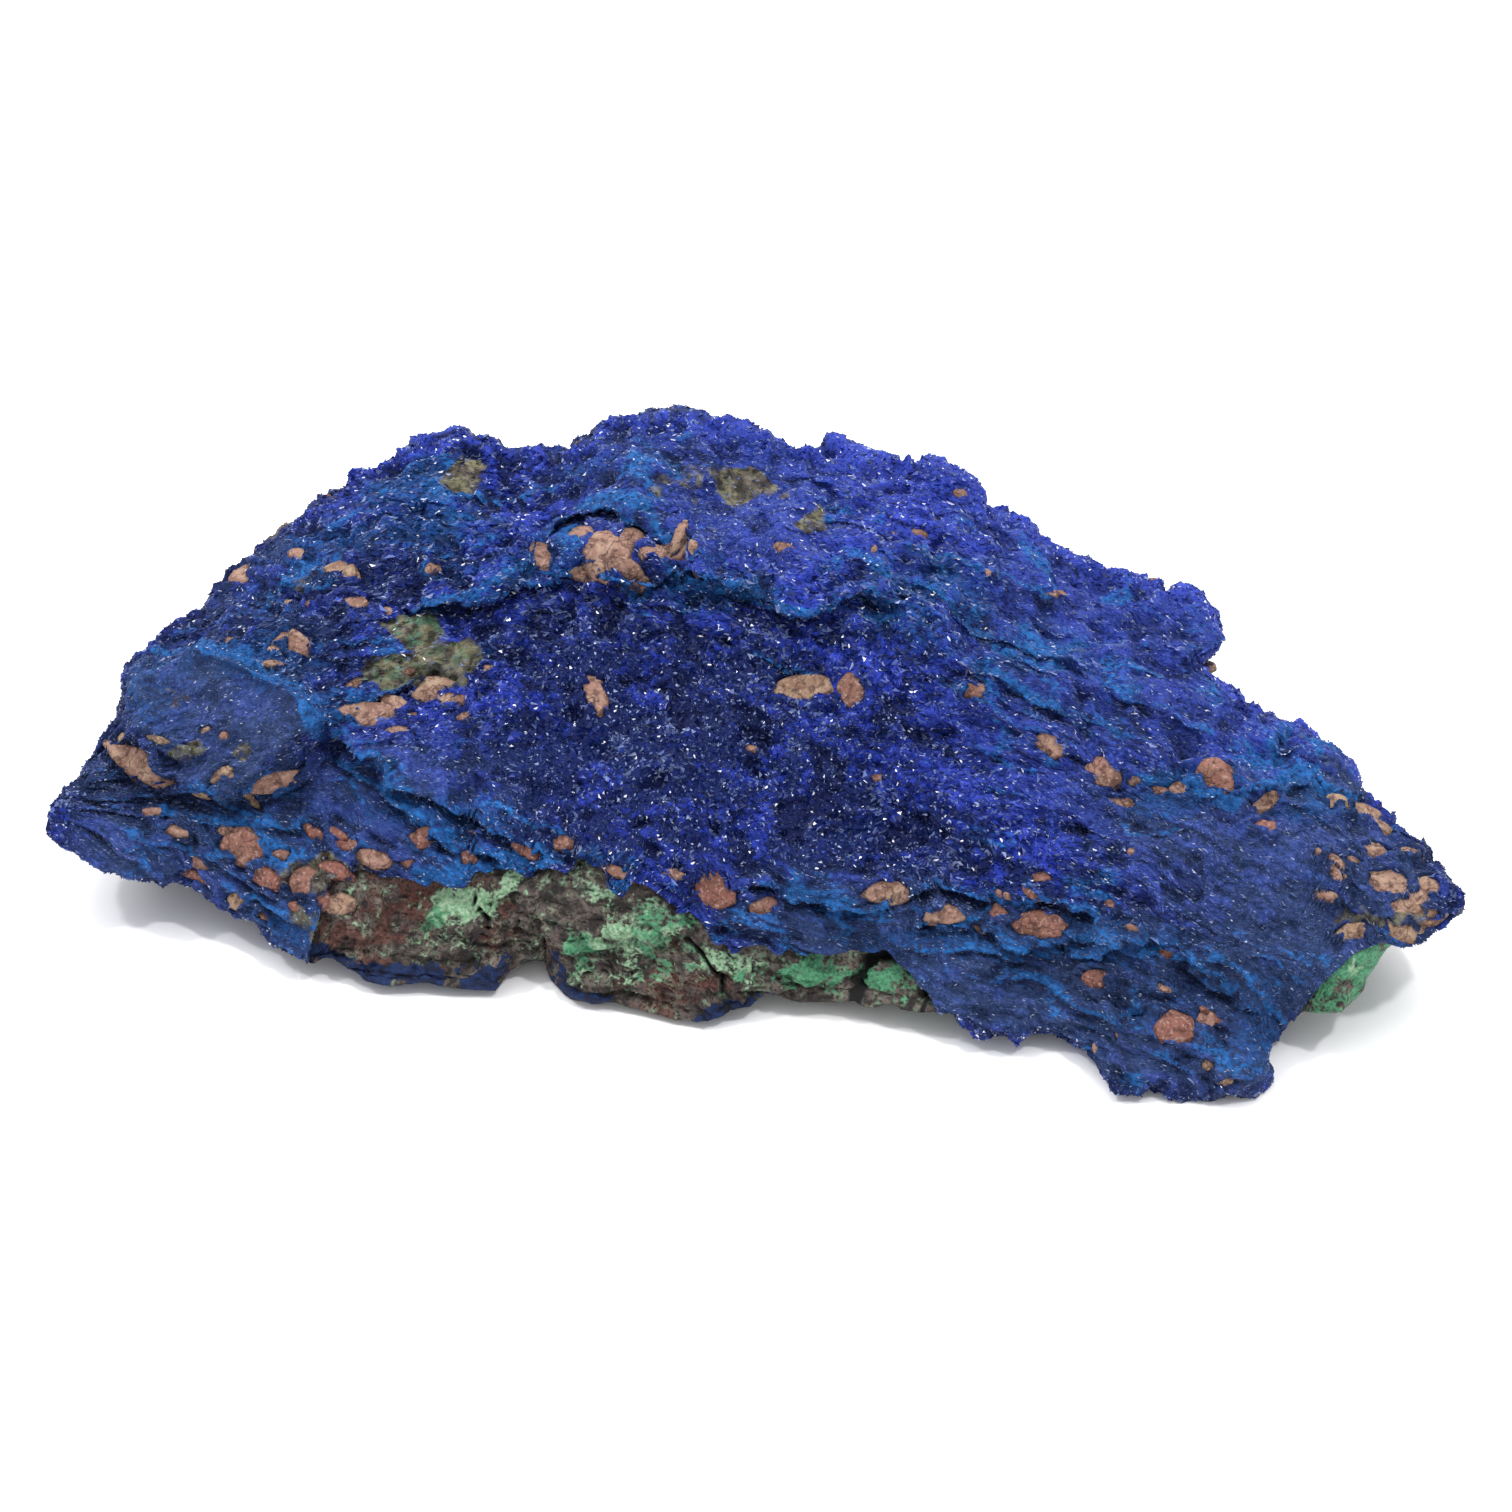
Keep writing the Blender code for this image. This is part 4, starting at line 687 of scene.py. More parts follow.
def strewn_chips():
    """Chips too small for a node, as (x, v, width, height, turn, hue): laid out, strewn, and on the back."""
    rng = np.random.default_rng(7)
    made = [(c[0], loop_position(c[0], c[1]), *c[2:]) for c in CHIPS]
    for fx, ft, half_w, half_h, count, hue in SMALL_FIELDS:
        for _ in range(count):
            x, t = fx + half_w * rng.uniform(-1, 1), ft + half_h * rng.uniform(-1, 1)
            w = rng.uniform(0.3, 0.9) ** 1.2 * 1.25
            turn = math.degrees(math.atan(flow_slope(x, t))) + rng.normal(0, 24)
            if min(oval(x, t, *c[:4]) for c in CLASTS.values()) < 0.85:
                continue
            long = w * rng.uniform(1.1, 2.8)
            made.append((x, loop_position(x, t), long, w, turn, hue + rng.uniform(-0.35, 0.35)))
    for _ in range(BACK_CHIPS):
        w, x, v = rng.uniform(0.5, 1.2), rng.uniform(-50, 50), rng.uniform(0.82, 0.99)
        made.append((x, v, w * rng.uniform(1, 1.8), w, rng.uniform(-60, 60), rng.uniform(0, 1)))
    return made


def bed(x, v, w, h, turn, top):
    """Where a fragment lies: its place, axes, width and height, how proud it is, and how the skin falls."""
    at, axes = seat(x, v, turn)
    return at, axes, w, h, top, bend_of(at, axes, x, v, w, h)


placed = [(n, c[0], loop_position(c[0], c[1]), *c[2:]) for n, c in CLASTS.items()]
placed += [(n, *c) for n, c in BACK_CLASTS.items()]
chips = strewn_chips()
BEDS = [bed(*c[1:6], 0.45 * c[6]) for c in placed] + [bed(*c[:5], 0.3 + 0.08 * c[3]) for c in chips]


# ---- the crust ----
def ledge_lips(marks, wx, wt, patchy):
    """Lips that hang over the ledges, worn bright above and shaded below."""
    for line, _, _, _, _, hang in LEDGES:
        r, side, along = line_distance(line, wx, wt)
        above, below = (side > 0) * faded(along, 0.05), (side <= 0) * faded(along, 0.05)
        marks.slide += above * 0.4 * hang * np.exp(-r / 0.7)
        marks.extra -= below * 0.4 * hang * np.exp(-r / 1.6)
        marks.wear += above * (0.2 + 1.1 * patchy) * np.exp(-((r / 0.4) ** 1.5))
        marks.shade += below * 0.6 * min(1.0, 0.3 + hang) * np.exp(-r / 1.0)


def strands(marks, x, t, patchy):
    """Strings of crust that stand up and lean down the slope."""
    sx, st = wandered(x, t, ((0.5, 2.6), (0.25, 0.9)), 211)
    for line, height, half_w, bright in STRANDS:
        r, side, along = line_distance(line, sx, st)
        fade = faded(along, 0.1) * (0.55 + 0.6 * patchy)
        form = bell(r, 0, 0.7 * half_w)
        marks.extra += fade * height * form
        marks.slide += fade * 0.5 * height * form
        marks.wear += fade * 1.1 * bright * bell(r, 0, 0.48 * half_w)
        marks.shade += fade * (side < 0) * 0.8 * bell(r, 1.2 * half_w, 0.6 * half_w)


def folds(marks, x, t, flow, folded, worn):
    """Fine folds that follow the flow."""
    for pitch, run, size, power, seed in FOLDS:
        ripple = noise(laid(flow / pitch, x / run), 1.0, seed)
        fold = np.clip(1 - 2.2 * np.abs(ripple), 0, 1)
        bright = step01(noise(laid(x, t), 3.4, seed + 3), -0.15, 0.45)
        marks.extra += folded * size * (fold - 0.3)
        marks.slide += folded * 0.35 * size * fold
        marks.wear += worn * fold ** (1.3 * power) * bright
        marks.shade += folded * 0.35 * step01(ripple, 0.12, 0.3) * (1 - step01(ripple, 0.3, 0.6))


def stained(p, wx, wt, front):
    """Where the rock shows through the crust, and how green it is there."""
    ragged = 0.5 * fractal(p, 1.8, 2, 207)
    stain, green = np.zeros_like(wx), np.zeros_like(wx)
    for *place, strength, share in STAINS:
        here = strength * front * (1 - step01(oval(wx, wt, *place) + ragged, 0.55, 1.1))
        stain = np.maximum(stain, here)
        green = np.maximum(green, here * share)
    return stain, green


def chalked(x, t, boss, plateau):
    """Where a dull film lies on the front of the crust."""
    return np.maximum.reduce([
        0.9 * boss,
        0.85 * (1 - step01(x, -30, -16)) * (1 - step01(t, -3, 5)),
        0.9 * (1 - step01(t + 0.12 * (x - 15), -13, -9)) * step01(x, -8, 6),
        0.45 * (1 - step01(x, -44, -26)),
        0.8 * step01(x + 0.9 * t, 17, 27) * (1 - step01(t, -4, 3)),
        0.9 * step01(x, 36, 44) * (1 - step01(t, -3, 0)),
        0.4 * step01(x, 12, 24) * step01(t, -6, 2),
        0.4 * plateau * (1 - step01(x, 2, 12)),
    ])


def margins(p, x, shade):
    """The crust laps on to each clay fragment's margin, and is torn open over its middle. It moves p, deepens
    the shade, and gives the share of the crust that is torn away."""
    torn = 0.36 * noise(p, 1.5, 221) + 0.42 * noise(p, 0.7, 223)
    bare = np.zeros_like(x)
    for k, (at, axes, w, h, top, bend) in enumerate(BEDS):
        sides, bite = broken_outline(k)
        sides = sides / (1.15 if k < len(placed) else 1.0)
        reach = 1.2 * (w + h) / 2 + 0.8
        r0, r1 = np.searchsorted(x[:, 0], [at[0] - reach - 3, at[0] + reach + 3])
        d = (p[r0:r1] - at) @ axes.T
        d[..., 2] -= np.clip(fall(np.clip(d, -reach, reach)) @ bend, *BEND_LIMITS)
        across = d[..., :2] / (w / 2, h / 2)
        plain = (np.clip(across @ sides, 0, None) ** 8).sum(-1) ** 0.125
        near = (np.abs(d[..., 2]) < 2.5) & (plain < 3)
        bitten = 0.5 * np.exp(-((across - bite) ** 2).sum(-1) / 0.12)
        r = plain + torn[r0:r1] * min(1.0, 3.0 / (w + h) + 0.3) + bitten
        lap = near * (1 - step01(plain, 1.25, 1.25 + 1.2 / w))
        gap = near * (1 - step01(r, 0.85, 1.08))
        lift = lap * np.clip(top + 0.28 + 0.25 * torn[r0:r1] - d[..., 2], -1.2, 1.0)
        lift = lift * (bare[r0:r1] < 0.3) * (1 - gap) + gap * np.minimum(top - 0.55 - d[..., 2], 0)
        p[r0:r1] += lift[..., None] * axes[2]
        bare[r0:r1] = np.maximum(bare[r0:r1], gap)
        shade[r0:r1] += 0.35 * near * bell(r, 1.12, 0.14)
    return bare


def crust(x, v):
    """The azurite's visible skin and what it is like there: worn lips, shade, chalk, stains and green."""
    p, n = outer(x, v)
    loop, t = v % 1.0, t_of(base(x, v))
    wx, wt = wandered(x, t)
    flat = laid(x, t)
    front = between(loop, -0.001, 0.03, 0.45, 0.49) * inland(x, 0, 5)
    behind = loop > 0.6
    patchy = 0.5 + 0.5 * fractal(p, 4.0, 2, 201)
    marks = types.SimpleNamespace(**{key: np.zeros_like(x) for key in ("wear", "shade", "slide", "extra")})
    ledge_lips(marks, wx, wt, patchy)
    strands(marks, x, t, patchy)
    rim = oval(wx, wt, *BOSS)
    boss = 1 - step01(rim, 0.86, 1.0)
    slope = step01(x, 24, 32) * step01(-t, 1, 4) * (1 - step01(-t, 14, 17))
    face = between(x, -26, -16, 12, 24) * step01(t, -12, -7) * (1 - step01(t, 9, 13))
    plateau = between(x, -24, -10, 8, 20) * step01(t, 15, 18)
    flow = flow_of(x, t) + 0.9 * noise(flat, 6.0, 601) + 0.35 * noise(flat, 2.0, 602)
    grouped = 0.45 + 0.55 * step01(noise(flat, 7.0, 605), -0.6, 0.2)
    folded = (1 - 0.8 * face) * (1 - 0.25 * plateau) * (1 - 0.75 * boss) * grouped
    folded = np.maximum(folded, 0.95 * step01(x, 6, 20) * step01(t, -6, 2))
    folds(marks, x, t, flow, folded, folded * (1 - 0.6 * slope) * (0.1 + 1.1 * patchy))
    sheer = 1 - 0.85 * step01(np.abs(np.gradient(v, axis=0) / np.gradient(x, axis=0)), 0.006, 0.025)
    extra, slide = marks.extra * sheer, marks.slide * sheer
    streak = noise(laid(flow / 0.5, x / 2.4), 1.0, 631) + noise(laid(flow / 0.95, x / 4.5), 1.0, 633)
    upper = step01((wt - BOSS[1]) / BOSS[3] + 0.8 * (wx - BOSS[0]) / BOSS[2], -0.6, 0.5)
    shade = marks.shade + 0.9 * bell(rim, 1.2, 0.12) * front * (1 - upper)
    shade += 0.7 * step01(rim, 1.03, 1.12) * (1 - step01(rim, 1.2, 1.45)) * step01(wx - BOSS[0], 3, 7) * front
    stain, green = stained(p, wx, wt, front)
    extra = extra * (1 - 0.8 * stain) + stain * (0.6 * ridged(p, 1.6, 3, 209) - 0.2)
    # clumps of druse, and pits between them
    far, who = clumps(p, 2.4, 301)
    near, kin = clumps(p, 1.15, 321)
    pits = step01(fractal(p, 3.0, 2, 331), 0.18, 0.45)
    body = 0.6 * (0.55 - far) + 0.4 * (0.5 - near) + 0.42 * ridged(p, 1.6, 2, 341) - 0.9 * pits
    body += 0.3 * (kin - 0.5) + 0.6 * ridged(p, 3.6, 2, 351) * (0.3 + 0.4 * plateau)
    chalk = front * chalked(x, t, boss, plateau)
    calm = (1 - 0.25 * plateau * front) * (1 - 0.7 * boss * front)
    body *= calm * (1 - 0.45 * chalk) * (1 - 0.7 * stain) * sheer
    height = extra * front + body
    hollow = smoothed(smoothed(height, 3.5, 0), 4.5, 1) - height
    shade += 0.5 * pits + 0.25 * step01(far, 0.55, 0.95) + 1.1 * step01(hollow, 0.08, 0.55)
    azure = np.zeros_like(x)
    for *place, strength in AZURE_PATCHES:
        azure = np.maximum(azure, strength * np.exp(-(oval(wx, wt, *place) ** 2)))
    azure = azure * (0.6 + 0.8 * patchy) * front + (0.25 + 0.35 * behind) * fractal(p, 5.0, 3, 361)
    stain = np.maximum(stain, 0.9 * behind * step01(fractal(p, 7.0, 3, 363), 0.42, 0.56))
    tone_and_shade = 0.5 + 0.45 * fractal(p, 7.0, 3, 371) - 0.42 * face
    tone_and_shade = tone_and_shade + 0.3 * plateau * step01(x, -12, 4) + 0.3 * (kin - 0.5) + 0.2 * (who - 0.5)
    tone_and_shade += 0.5 * step01(x, 0, 16) * step01(t, -10, 2) - 0.3 * (1 - step01(t, -15, -9))
    tone_and_shade -= 0.3 * (1 - step01(x, -46, -28)) + 0.15 * step01(x, 26, 36) * (1 - step01(t, -6, 0))
    tone_and_shade += behind * (0.5 * fractal(p, 9.0, 2, 365) - 0.12)
    # painted shade darkens the hollows of the crust's height, and painted light lifts what stands above them
    tone_and_shade += 0.3 * streak * folded * front - 0.5 * np.clip(hollow, -0.4, 0.6)
    extra = extra + 0.13 * streak * folded
    p = p + (extra * front)[..., None] * OUTWARD - (slide * front)[..., None] * UPSLOPE
    p = p + (body * (0.25 + 0.75 * inland(x, 0, 10)))[..., None] * n
    # the lobe at the upper right stands out over a notch in the outline
    p[..., 0] += 1.3 * bell(x, 38.2, 1.7) * step01(t, 8.0, 9.6)
    p[..., 0] -= 2.6 * bell(x, 38.9, 1.5) * bell(t, 7.3, 1.2)
    bare = margins(p, x, shade)
    p[..., 2] = np.maximum(p[..., 2], 0.02)
    dull = 1 - 0.7 * boss * front
    # painted sheen: some druse clumps, and above all the plateau, are painted a paler grey-blue that stands
    # for reflected sky
    painted_sheen = step01(kin, 0.7, 0.78) * step01(noise(p, 5.0, 383), -0.4, 0.3)
    looks = {
        "bare": bare,
        "wear": marks.wear * front + 0.12 * step01(who, 0.8, 1) * (1 - far),
        "shade": shade,
        "chalk": chalk + 0.3 * behind,
        "stain": stain,
        "green": green,
        "azure": azure,
        "tone_and_shade": tone_and_shade,
        "fibre": folded * front * 1.1,
        "coarse": step01(fractal(p, 3.5, 2, 381) + 0.5 * (kin - 0.5), -0.1, 0.5) * dull,
        "painted_sheen": np.maximum(painted_sheen, 0.8 * plateau * step01(kin, 0.3, 0.6)) * (1 - 0.8 * boss * front),
    }
    looks = {key: np.clip(value, 0, 1) for key, value in looks.items()}
    return p, n, looks | {"lie": np.clip(flow_slope(x, t), -1, 1), "flow": flow}


# ---- meshes ----
def new_object(name, points, corners, smooth, looks=None, uv=None):
    """A mesh of triangles (a row of vertex numbers each) from arrays in mm. The tip ends blunt."""
    mesh = bpy.data.meshes.new(name)
    corners = np.asarray(corners, np.int32)
    points = points - np.array([1.0, 0, 0]) * (1.5 * step01(points[:, :1], 42, 61))
    mesh.vertices.add(len(points))
    mesh.vertices.foreach_set("co", ((points + SHIFT) * MM).astype(np.float32).ravel())
    mesh.loops.add(corners.size)
    mesh.loops.foreach_set("vertex_index", corners.ravel())
    mesh.polygons.add(len(corners))
    mesh.polygons.foreach_set("loop_start", np.arange(len(corners), dtype=np.int32) * corners.shape[1])
    mesh.update(calc_edges=True)
    for key, values in (looks or {}).items():
        layer = mesh.attributes.new(key, "FLOAT", "POINT")
        layer.data.foreach_set("value", values.astype(np.float32).ravel())
    if uv is not None:
        layer = mesh.uv_layers.new(name="OFBake")
        layer.uv.foreach_set("vector", uv.astype(np.float32).ravel())
    if smooth:
        mesh.shade_smooth()
    else:
        mesh.shade_flat()
    made = bpy.data.objects.new(name, mesh)
    bpy.context.scene.collection.objects.link(made)
    return made


def looped(name, loops, ends, looks):
    """A closed skin over a grid of loops, with a fan to a point at each end, as triangles."""
    count, cols = loops.shape[:2]
    points = np.concatenate([loops.reshape(-1, 3), ends])
    # corners are counted on a grid with one column more than the loops have, so that the seam has a UV on
    # each side, and then once for each triangle of the two fans
    wide, tips = cols + 1, count * (cols + 1)
    row, col = (k.ravel() for k in np.meshgrid(np.arange(count), np.arange(wide), indexing="ij"))
    ring = np.arange(cols)
    vertex = np.concatenate([row * cols + col % cols, 0 * ring + count * cols, 0 * ring + count * cols + 1])
    u = np.concatenate([row / (count - 1), 0 * ring, 0 * ring + 1])
    w = np.concatenate([col / cols, (ring + 0.5) / cols, (ring + 0.5) / cols])
    a = (np.arange(count - 1)[:, None] * wide + ring).ravel()
    b, c, d = a + 1, a + wide + 1, a + wide
    at = points[vertex]
    # each cell is split along its shorter diagonal
    flip = np.linalg.norm(at[a] - at[c], axis=-1) < np.linalg.norm(at[b] - at[d], axis=-1)
    corners = np.concatenate([
        np.where(flip[:, None], np.stack([a, b, c], -1), np.stack([a, b, d], -1)),
        np.where(flip[:, None], np.stack([a, c, d], -1), np.stack([b, c, d], -1)),
        np.stack([tips + ring, ring + 1, ring], -1),
        np.stack([tips + cols + ring, tips - wide + ring, tips - wide + ring + 1], -1),
    ])
    uv = np.stack([u, w], -1)[corners] * 0.996 + 0.002
    corners = vertex[corners]
    looks = {key: np.concatenate([value.ravel(), [0.0, 0.0]]) for key, value in looks.items()}
    one, two, three = (points[corners[:, k]] for k in range(3))
    if np.einsum("ij,ij->", one, np.cross(two, three)) < 0:
        corners, uv = corners[:, ::-1], uv[:, ::-1]
    return new_object(name, points, corners, True, looks, uv)


def azurite_grid():
    """The crust's loops: down the front to the parting, over the sheet inside, and up the back."""
    x = stations(STATIONS)
    front, back, _ = parting(x)
    foot = np.minimum(front - 0.013, 0.47)[:, None]
    down = np.linspace(0, 1, FRONT_COLS - HEM_COLS) * foot
    hem = foot + np.linspace(0, 1, HEM_COLS + 1)[1:] * (front[:, None] - foot)
    down = np.concatenate([down, hem], 1)
    up = back[:, None] + np.linspace(0, 1, BACK_COLS + 1)[:-1] * (1 - back[:, None])
    inside = sheet(x, AZURITE_SHEET)
    a, an, a_looks = crust(np.repeat(x[:, None], FRONT_COLS, 1), down)
    b, bn, b_looks = crust(np.repeat(x[:, None], BACK_COLS, 1), up)
    blank = np.zeros(inside.shape[:2])
    looks = {k: np.concatenate([a_looks[k], blank + (k == "shade"), b_looks[k]], 1) for k in a_looks}
    return np.concatenate([a, inside, b], 1), np.concatenate([an, 0 * inside, bn], 1), looks


# ---- the host rock ----
def cracked(p, t):
    """How deep a crack runs here, 0 to 1."""
    crack = np.zeros(p.shape[:2])
    for line, width in CRACKS:
        r, _, _ = line_distance(line, p[..., 0] + 0.3 * noise(p, 1.2, 495), t + 0.3 * noise(p, 1.2, 497))
        crack = np.maximum(crack, np.exp(-((r / width) ** 4)))
    return crack


def filmed(p, t):
    """How thickly malachite lies here, 0 to 1."""
    film = 0.75 * fractal(p, 5.0, 3, 451) + 0.55 * fractal(p, 1.5, 3, 461) - 0.02
    for px, pt, w, h, lift in FILMS:
        film = film + lift * np.exp(-(((p[..., 0] - px) / w) ** 2 + ((t - pt) / h) ** 2) * 1.3)
    return np.clip(film, 0, 1)


def hemmed(x, t):
    """Where the crust wraps under the rock."""
    hem = np.zeros(x.shape)
    for x0, x1, width in HEMS:
        low = 1 - step01(t - rail(FOOT, x), width * 0.6, width * 1.2)
        hem = np.maximum(hem, between(x, x0 - 2, x0 + 2, x1 - 2, x1 + 2) * low)
    return hem


def rock_grid():
    """The host rock below the parting: broken beds, cracks, and malachite films that stand off it."""
    x = stations(ROCK_STATIONS)
    x = x[parting(x)[2] > 0.8]
    front, back, _ = parting(x)
    skew = np.minimum(np.hypot(1, 140 * smoothed(np.gradient(front, x), 3, 0)), 4)
    share = np.concatenate([np.linspace(0, 0.4, 78)[:-1], np.linspace(0.4, 1, 32)])
    tip = 1 - inland(x, 7, 14)
    low, high = (front + 0.003 * skew)[:, None], (back - 0.006 - 0.03 * tip)[:, None]
    v = low + share * (high - low)
    p, n = outer(np.repeat(x[:, None], len(share), 1), v)
    t = t_of(p)
    inset = 1.0 + 0.5 * noise(p, 5.0, 401)
    side = np.clip(1 + 1.6 * n[..., 2:], 0, 1)[..., 0]
    bedding = (t + 0.12 * p[..., 0] + 0.8 * noise(p, 6.0, 403)) / 1.5
    seam = np.abs(bedding - np.round(bedding))
    shelf = hashed(np.round(bedding).astype(np.int64), 0, 0, 5)
    _, who = clumps(p * np.array([0.7, 1.0, 1.7]), 3.6, 411)
    far, small = clumps(p, 1.5, 421)
    rough = 0.7 * (who - 0.5) + 0.3 * (small - 0.5)
    rough = rough + 0.6 * ridged(p, 2.2, 3, 431) + 0.5 * ridged(p, 0.9, 2, 441)
    rough += 0.35 * (shelf - 0.5) - 0.25 * step01(seam, 0.4, 0.5)
    rough *= 1.25 - 0.8 * step01(p[..., 0], 3, 8)
    edge = np.clip(np.minimum(share, 1 - share) * 14, 0.1, 1)
    ends = inland(x, 4, 16)[:, None]
    crack, film = cracked(p, t), filmed(p, t)
    push = (-inset * ends + (rough + 0.3 * step01(film, 0.3, 0.6)) * edge * ends) * side
    along = p[..., 0]
    p = p + (push - 1.6 * crack * side)[..., None] * n
    p[..., 2] = np.maximum(p[..., 2], 0.0)
    hem = hemmed(along, t)
    rust = 0.5 + 0.9 * fractal(p, 3.6, 3, 471) + 0.5 * fractal(p, 1.2, 2, 473)
    shade = 1.3 * crack + 0.5 * step01(far, 0.6, 0.95) + 0.5 * step01(seam, 0.36, 0.5)
    looks = {
        "film": film * (0.45 + 0.55 * (1 - step01(v, 0.50, 0.56))) * (1 - hem),
        "rust": np.clip(rust, 0, 1) * step01(-along, -12, 10),
        "shade": shade + 0.35 * (0.5 - who),
        "pale": 0.5 + 0.8 * fractal(p, 3.0, 2, 481) + 0.8 * bell(along, -23, 4) - 0.5 * step01(along, -1, 5),
        "azure": hem * (0.7 + 0.6 * noise(p, 1.6, 493)),
    }
    blank = np.zeros((len(x), SHEET_COLS))
    looks = {key: np.concatenate([np.clip(value, 0, 1), blank], 1) for key, value in looks.items()}
    return np.concatenate([p, sheet(x, ROCK_SHEET)[:, ::-1]], 1), looks


def angular(size, seed, rows, cols):
    """A broken fragment: along direction d its radius is (sum of (d.n / h)^p over its faces)^(-1/p)."""
    rng = np.random.default_rng(seed)
    sides = int(rng.integers(4, 6))
    spin = 2 * np.pi * (np.arange(sides) + rng.uniform(-0.3, 0.3, sides)) / sides + rng.uniform(0, 6.28)
    lift = rng.uniform(-0.1, 0.35, sides)
    n = np.stack([np.cos(spin) * np.cos(lift), np.sin(spin) * np.cos(lift), np.sin(lift)], 1)
    lean = rng.uniform(0, 6.28) + np.array([0, 2.1, 4.2]) + rng.uniform(-0.5, 0.5, 3)
    lean = np.stack([np.cos(lean), np.sin(lean), np.zeros(3)], 1) * rng.uniform(0.1, 0.42, (3, 1))
    caps = np.concatenate([lean + [0, 0, 1.0], [[0.0, 0.0, -1.0]]])
    caps /= np.linalg.norm(caps, axis=1, keepdims=True)
    n = np.concatenate([n, caps])
    h = np.concatenate([rng.uniform(0.75, 1.05, sides), rng.uniform(0.74, 0.84, 3), [0.9]])
    a = np.linspace(0, np.pi, rows)[1:-1]
    b = np.linspace(0, 2 * np.pi, cols, endpoint=False)
    up = np.repeat(np.cos(a)[:, None], cols, 1)
    d = np.stack([np.sin(a)[:, None] * np.cos(b), np.sin(a)[:, None] * np.sin(b), up], -1)
    d = np.concatenate([d.reshape(-1, 3), [[0, 0, 1.0], [0, 0, -1.0]]])
    power = 48
    r = (np.clip(d @ n.T / h, 0, None) ** power).sum(1) ** (-1 / power)
    r = np.minimum(r, 1.3)
    r = r * (1 + 0.08 * noise(d + seed, 0.7, seed) + 0.10 * fractal(d + seed, 0.3, 3, seed + 1))
    p = d * r[:, None] * np.asarray(size)
    i, j = np.meshgrid(np.arange(rows - 3), np.arange(cols), indexing="ij")
    q = i * cols + j
    s = i * cols + (j + 1) % cols
    body = [np.stack(k, -1).reshape(-1, 3) for k in ([q, q + cols, s], [s, q + cols, s + cols])]
    ring = np.arange(cols)
    top, bottom, last = len(p) - 2, len(p) - 1, (rows - 3) * cols
    caps = [
        np.stack([np.full(cols, top), ring, (ring + 1) % cols], -1),
        np.stack([np.full(cols, bottom), last + (ring + 1) % cols, last + ring], -1),
    ]
    return p, np.concatenate(body + caps)


# ---- shader maths ----
class Wire:
    """A socket or a number in a material, with arithmetic."""

    def __init__(self, paint, value):
        self.paint, self.value = paint, value

    def calc(self, operation, *others):
        sockets = [getattr(o, "value", o) for o in (self, *others)]
        return self.paint.add("ShaderNodeMath", {"operation": operation}, dict(enumerate(sockets)))

    def __add__(self, other):
        return self.calc("ADD", other)

    def __mul__(self, other):
        return self.calc("MULTIPLY", other)

    def __sub__(self, other):
        return self.calc("SUBTRACT", other)

    def __rsub__(self, other):
        return Wire(self.paint, other).calc("SUBTRACT", self)

    __radd__, __rmul__ = __add__, __mul__

    def ramp(self, low, high):
        """0 below low, 1 above high, smooth between."""
        return self.paint.add(
            "ShaderNodeMapRange",
            {"interpolation_type": "SMOOTHSTEP"},
            {"Value": self.value, "From Min": low, "From Max": high},
            "Result",
        )


class Paint:
    """A material in the making."""

    def __init__(self, name):
        self.material = bpy.data.materials.new(name)
        self.material.use_nodes = True
        self.tree = self.material.node_tree
        self.shader = self.tree.nodes["Principled BSDF"]

    def put(self, node, key, value):
        value = getattr(value, "value", value)
        if isinstance(value, bpy.types.NodeSocket):
            self.tree.links.new(value, node.inputs[key])
        else:
            node.inputs[key].default_value = value

    def add(self, kind, settings=None, values=None, out=0):
        node = self.tree.nodes.new(kind)
        for key, value in (settings or {}).items():
            setattr(node, key, value)
        for key, value in (values or {}).items():
            self.put(node, key, value)
        return Wire(self, node.outputs[out])

    def look(self, key):
        return self.add("ShaderNodeAttribute", {"attribute_name": key}, out="Fac")

    def place(self):
        return self.add("ShaderNodeTexCoord", out="Object")

    def grain(self, scale, detail=2.0, seed=0.0):
        shift = (seed, 0.37 * seed, 0.71 * seed)
        at = self.add("ShaderNodeVectorMath", {"operation": "ADD"}, {0: self.place(), 1: shift})
        values = {"Vector": at, "Scale": scale, "Detail": detail}
        return self.add("ShaderNodeTexNoise", {"noise_dimensions": "3D"}, values)

    def fibres(self, across, along, seed):
        """Noise drawn out along the flow; across and along are its grain in mm."""
        x = self.add("ShaderNodeSeparateXYZ", None, {0: self.place()})
        values = {"X": self.look("flow") * (1 / across), "Y": x * (1000 / along), "Z": seed}
        at = self.add("ShaderNodeCombineXYZ", None, values)
        values = {"Vector": at, "Scale": 1.0, "Detail": 2.0}
        return self.add("ShaderNodeTexNoise", {"noise_dimensions": "3D"}, values)

    def mix(self, share, one, two):
        return self.add(
            "ShaderNodeMix", {"data_type": "RGBA"}, {0: share, 6: self.colour(one), 7: self.colour(two)}, 2
        )

    @staticmethod
    def colour(c):
        return (*c, 1.0) if isinstance(c, tuple) and len(c) == 3 else c

    def finish(self, **inputs):
        for key, value in inputs.items():
            self.put(self.shader, key.replace("_", " "), value)
        return self.material


NAVY, ULTRAMARINE, VIOLET = (0.004, 0.011, 0.078), (0.009, 0.023, 0.225), (0.028, 0.050, 0.37)
AZURE, BLEACHED, CHALKY = (0.009, 0.062, 0.215), (0.014, 0.125, 0.375), (0.060, 0.098, 0.205)
OLIVE, UMBER = (0.15, 0.14, 0.085), (0.075, 0.062, 0.050)


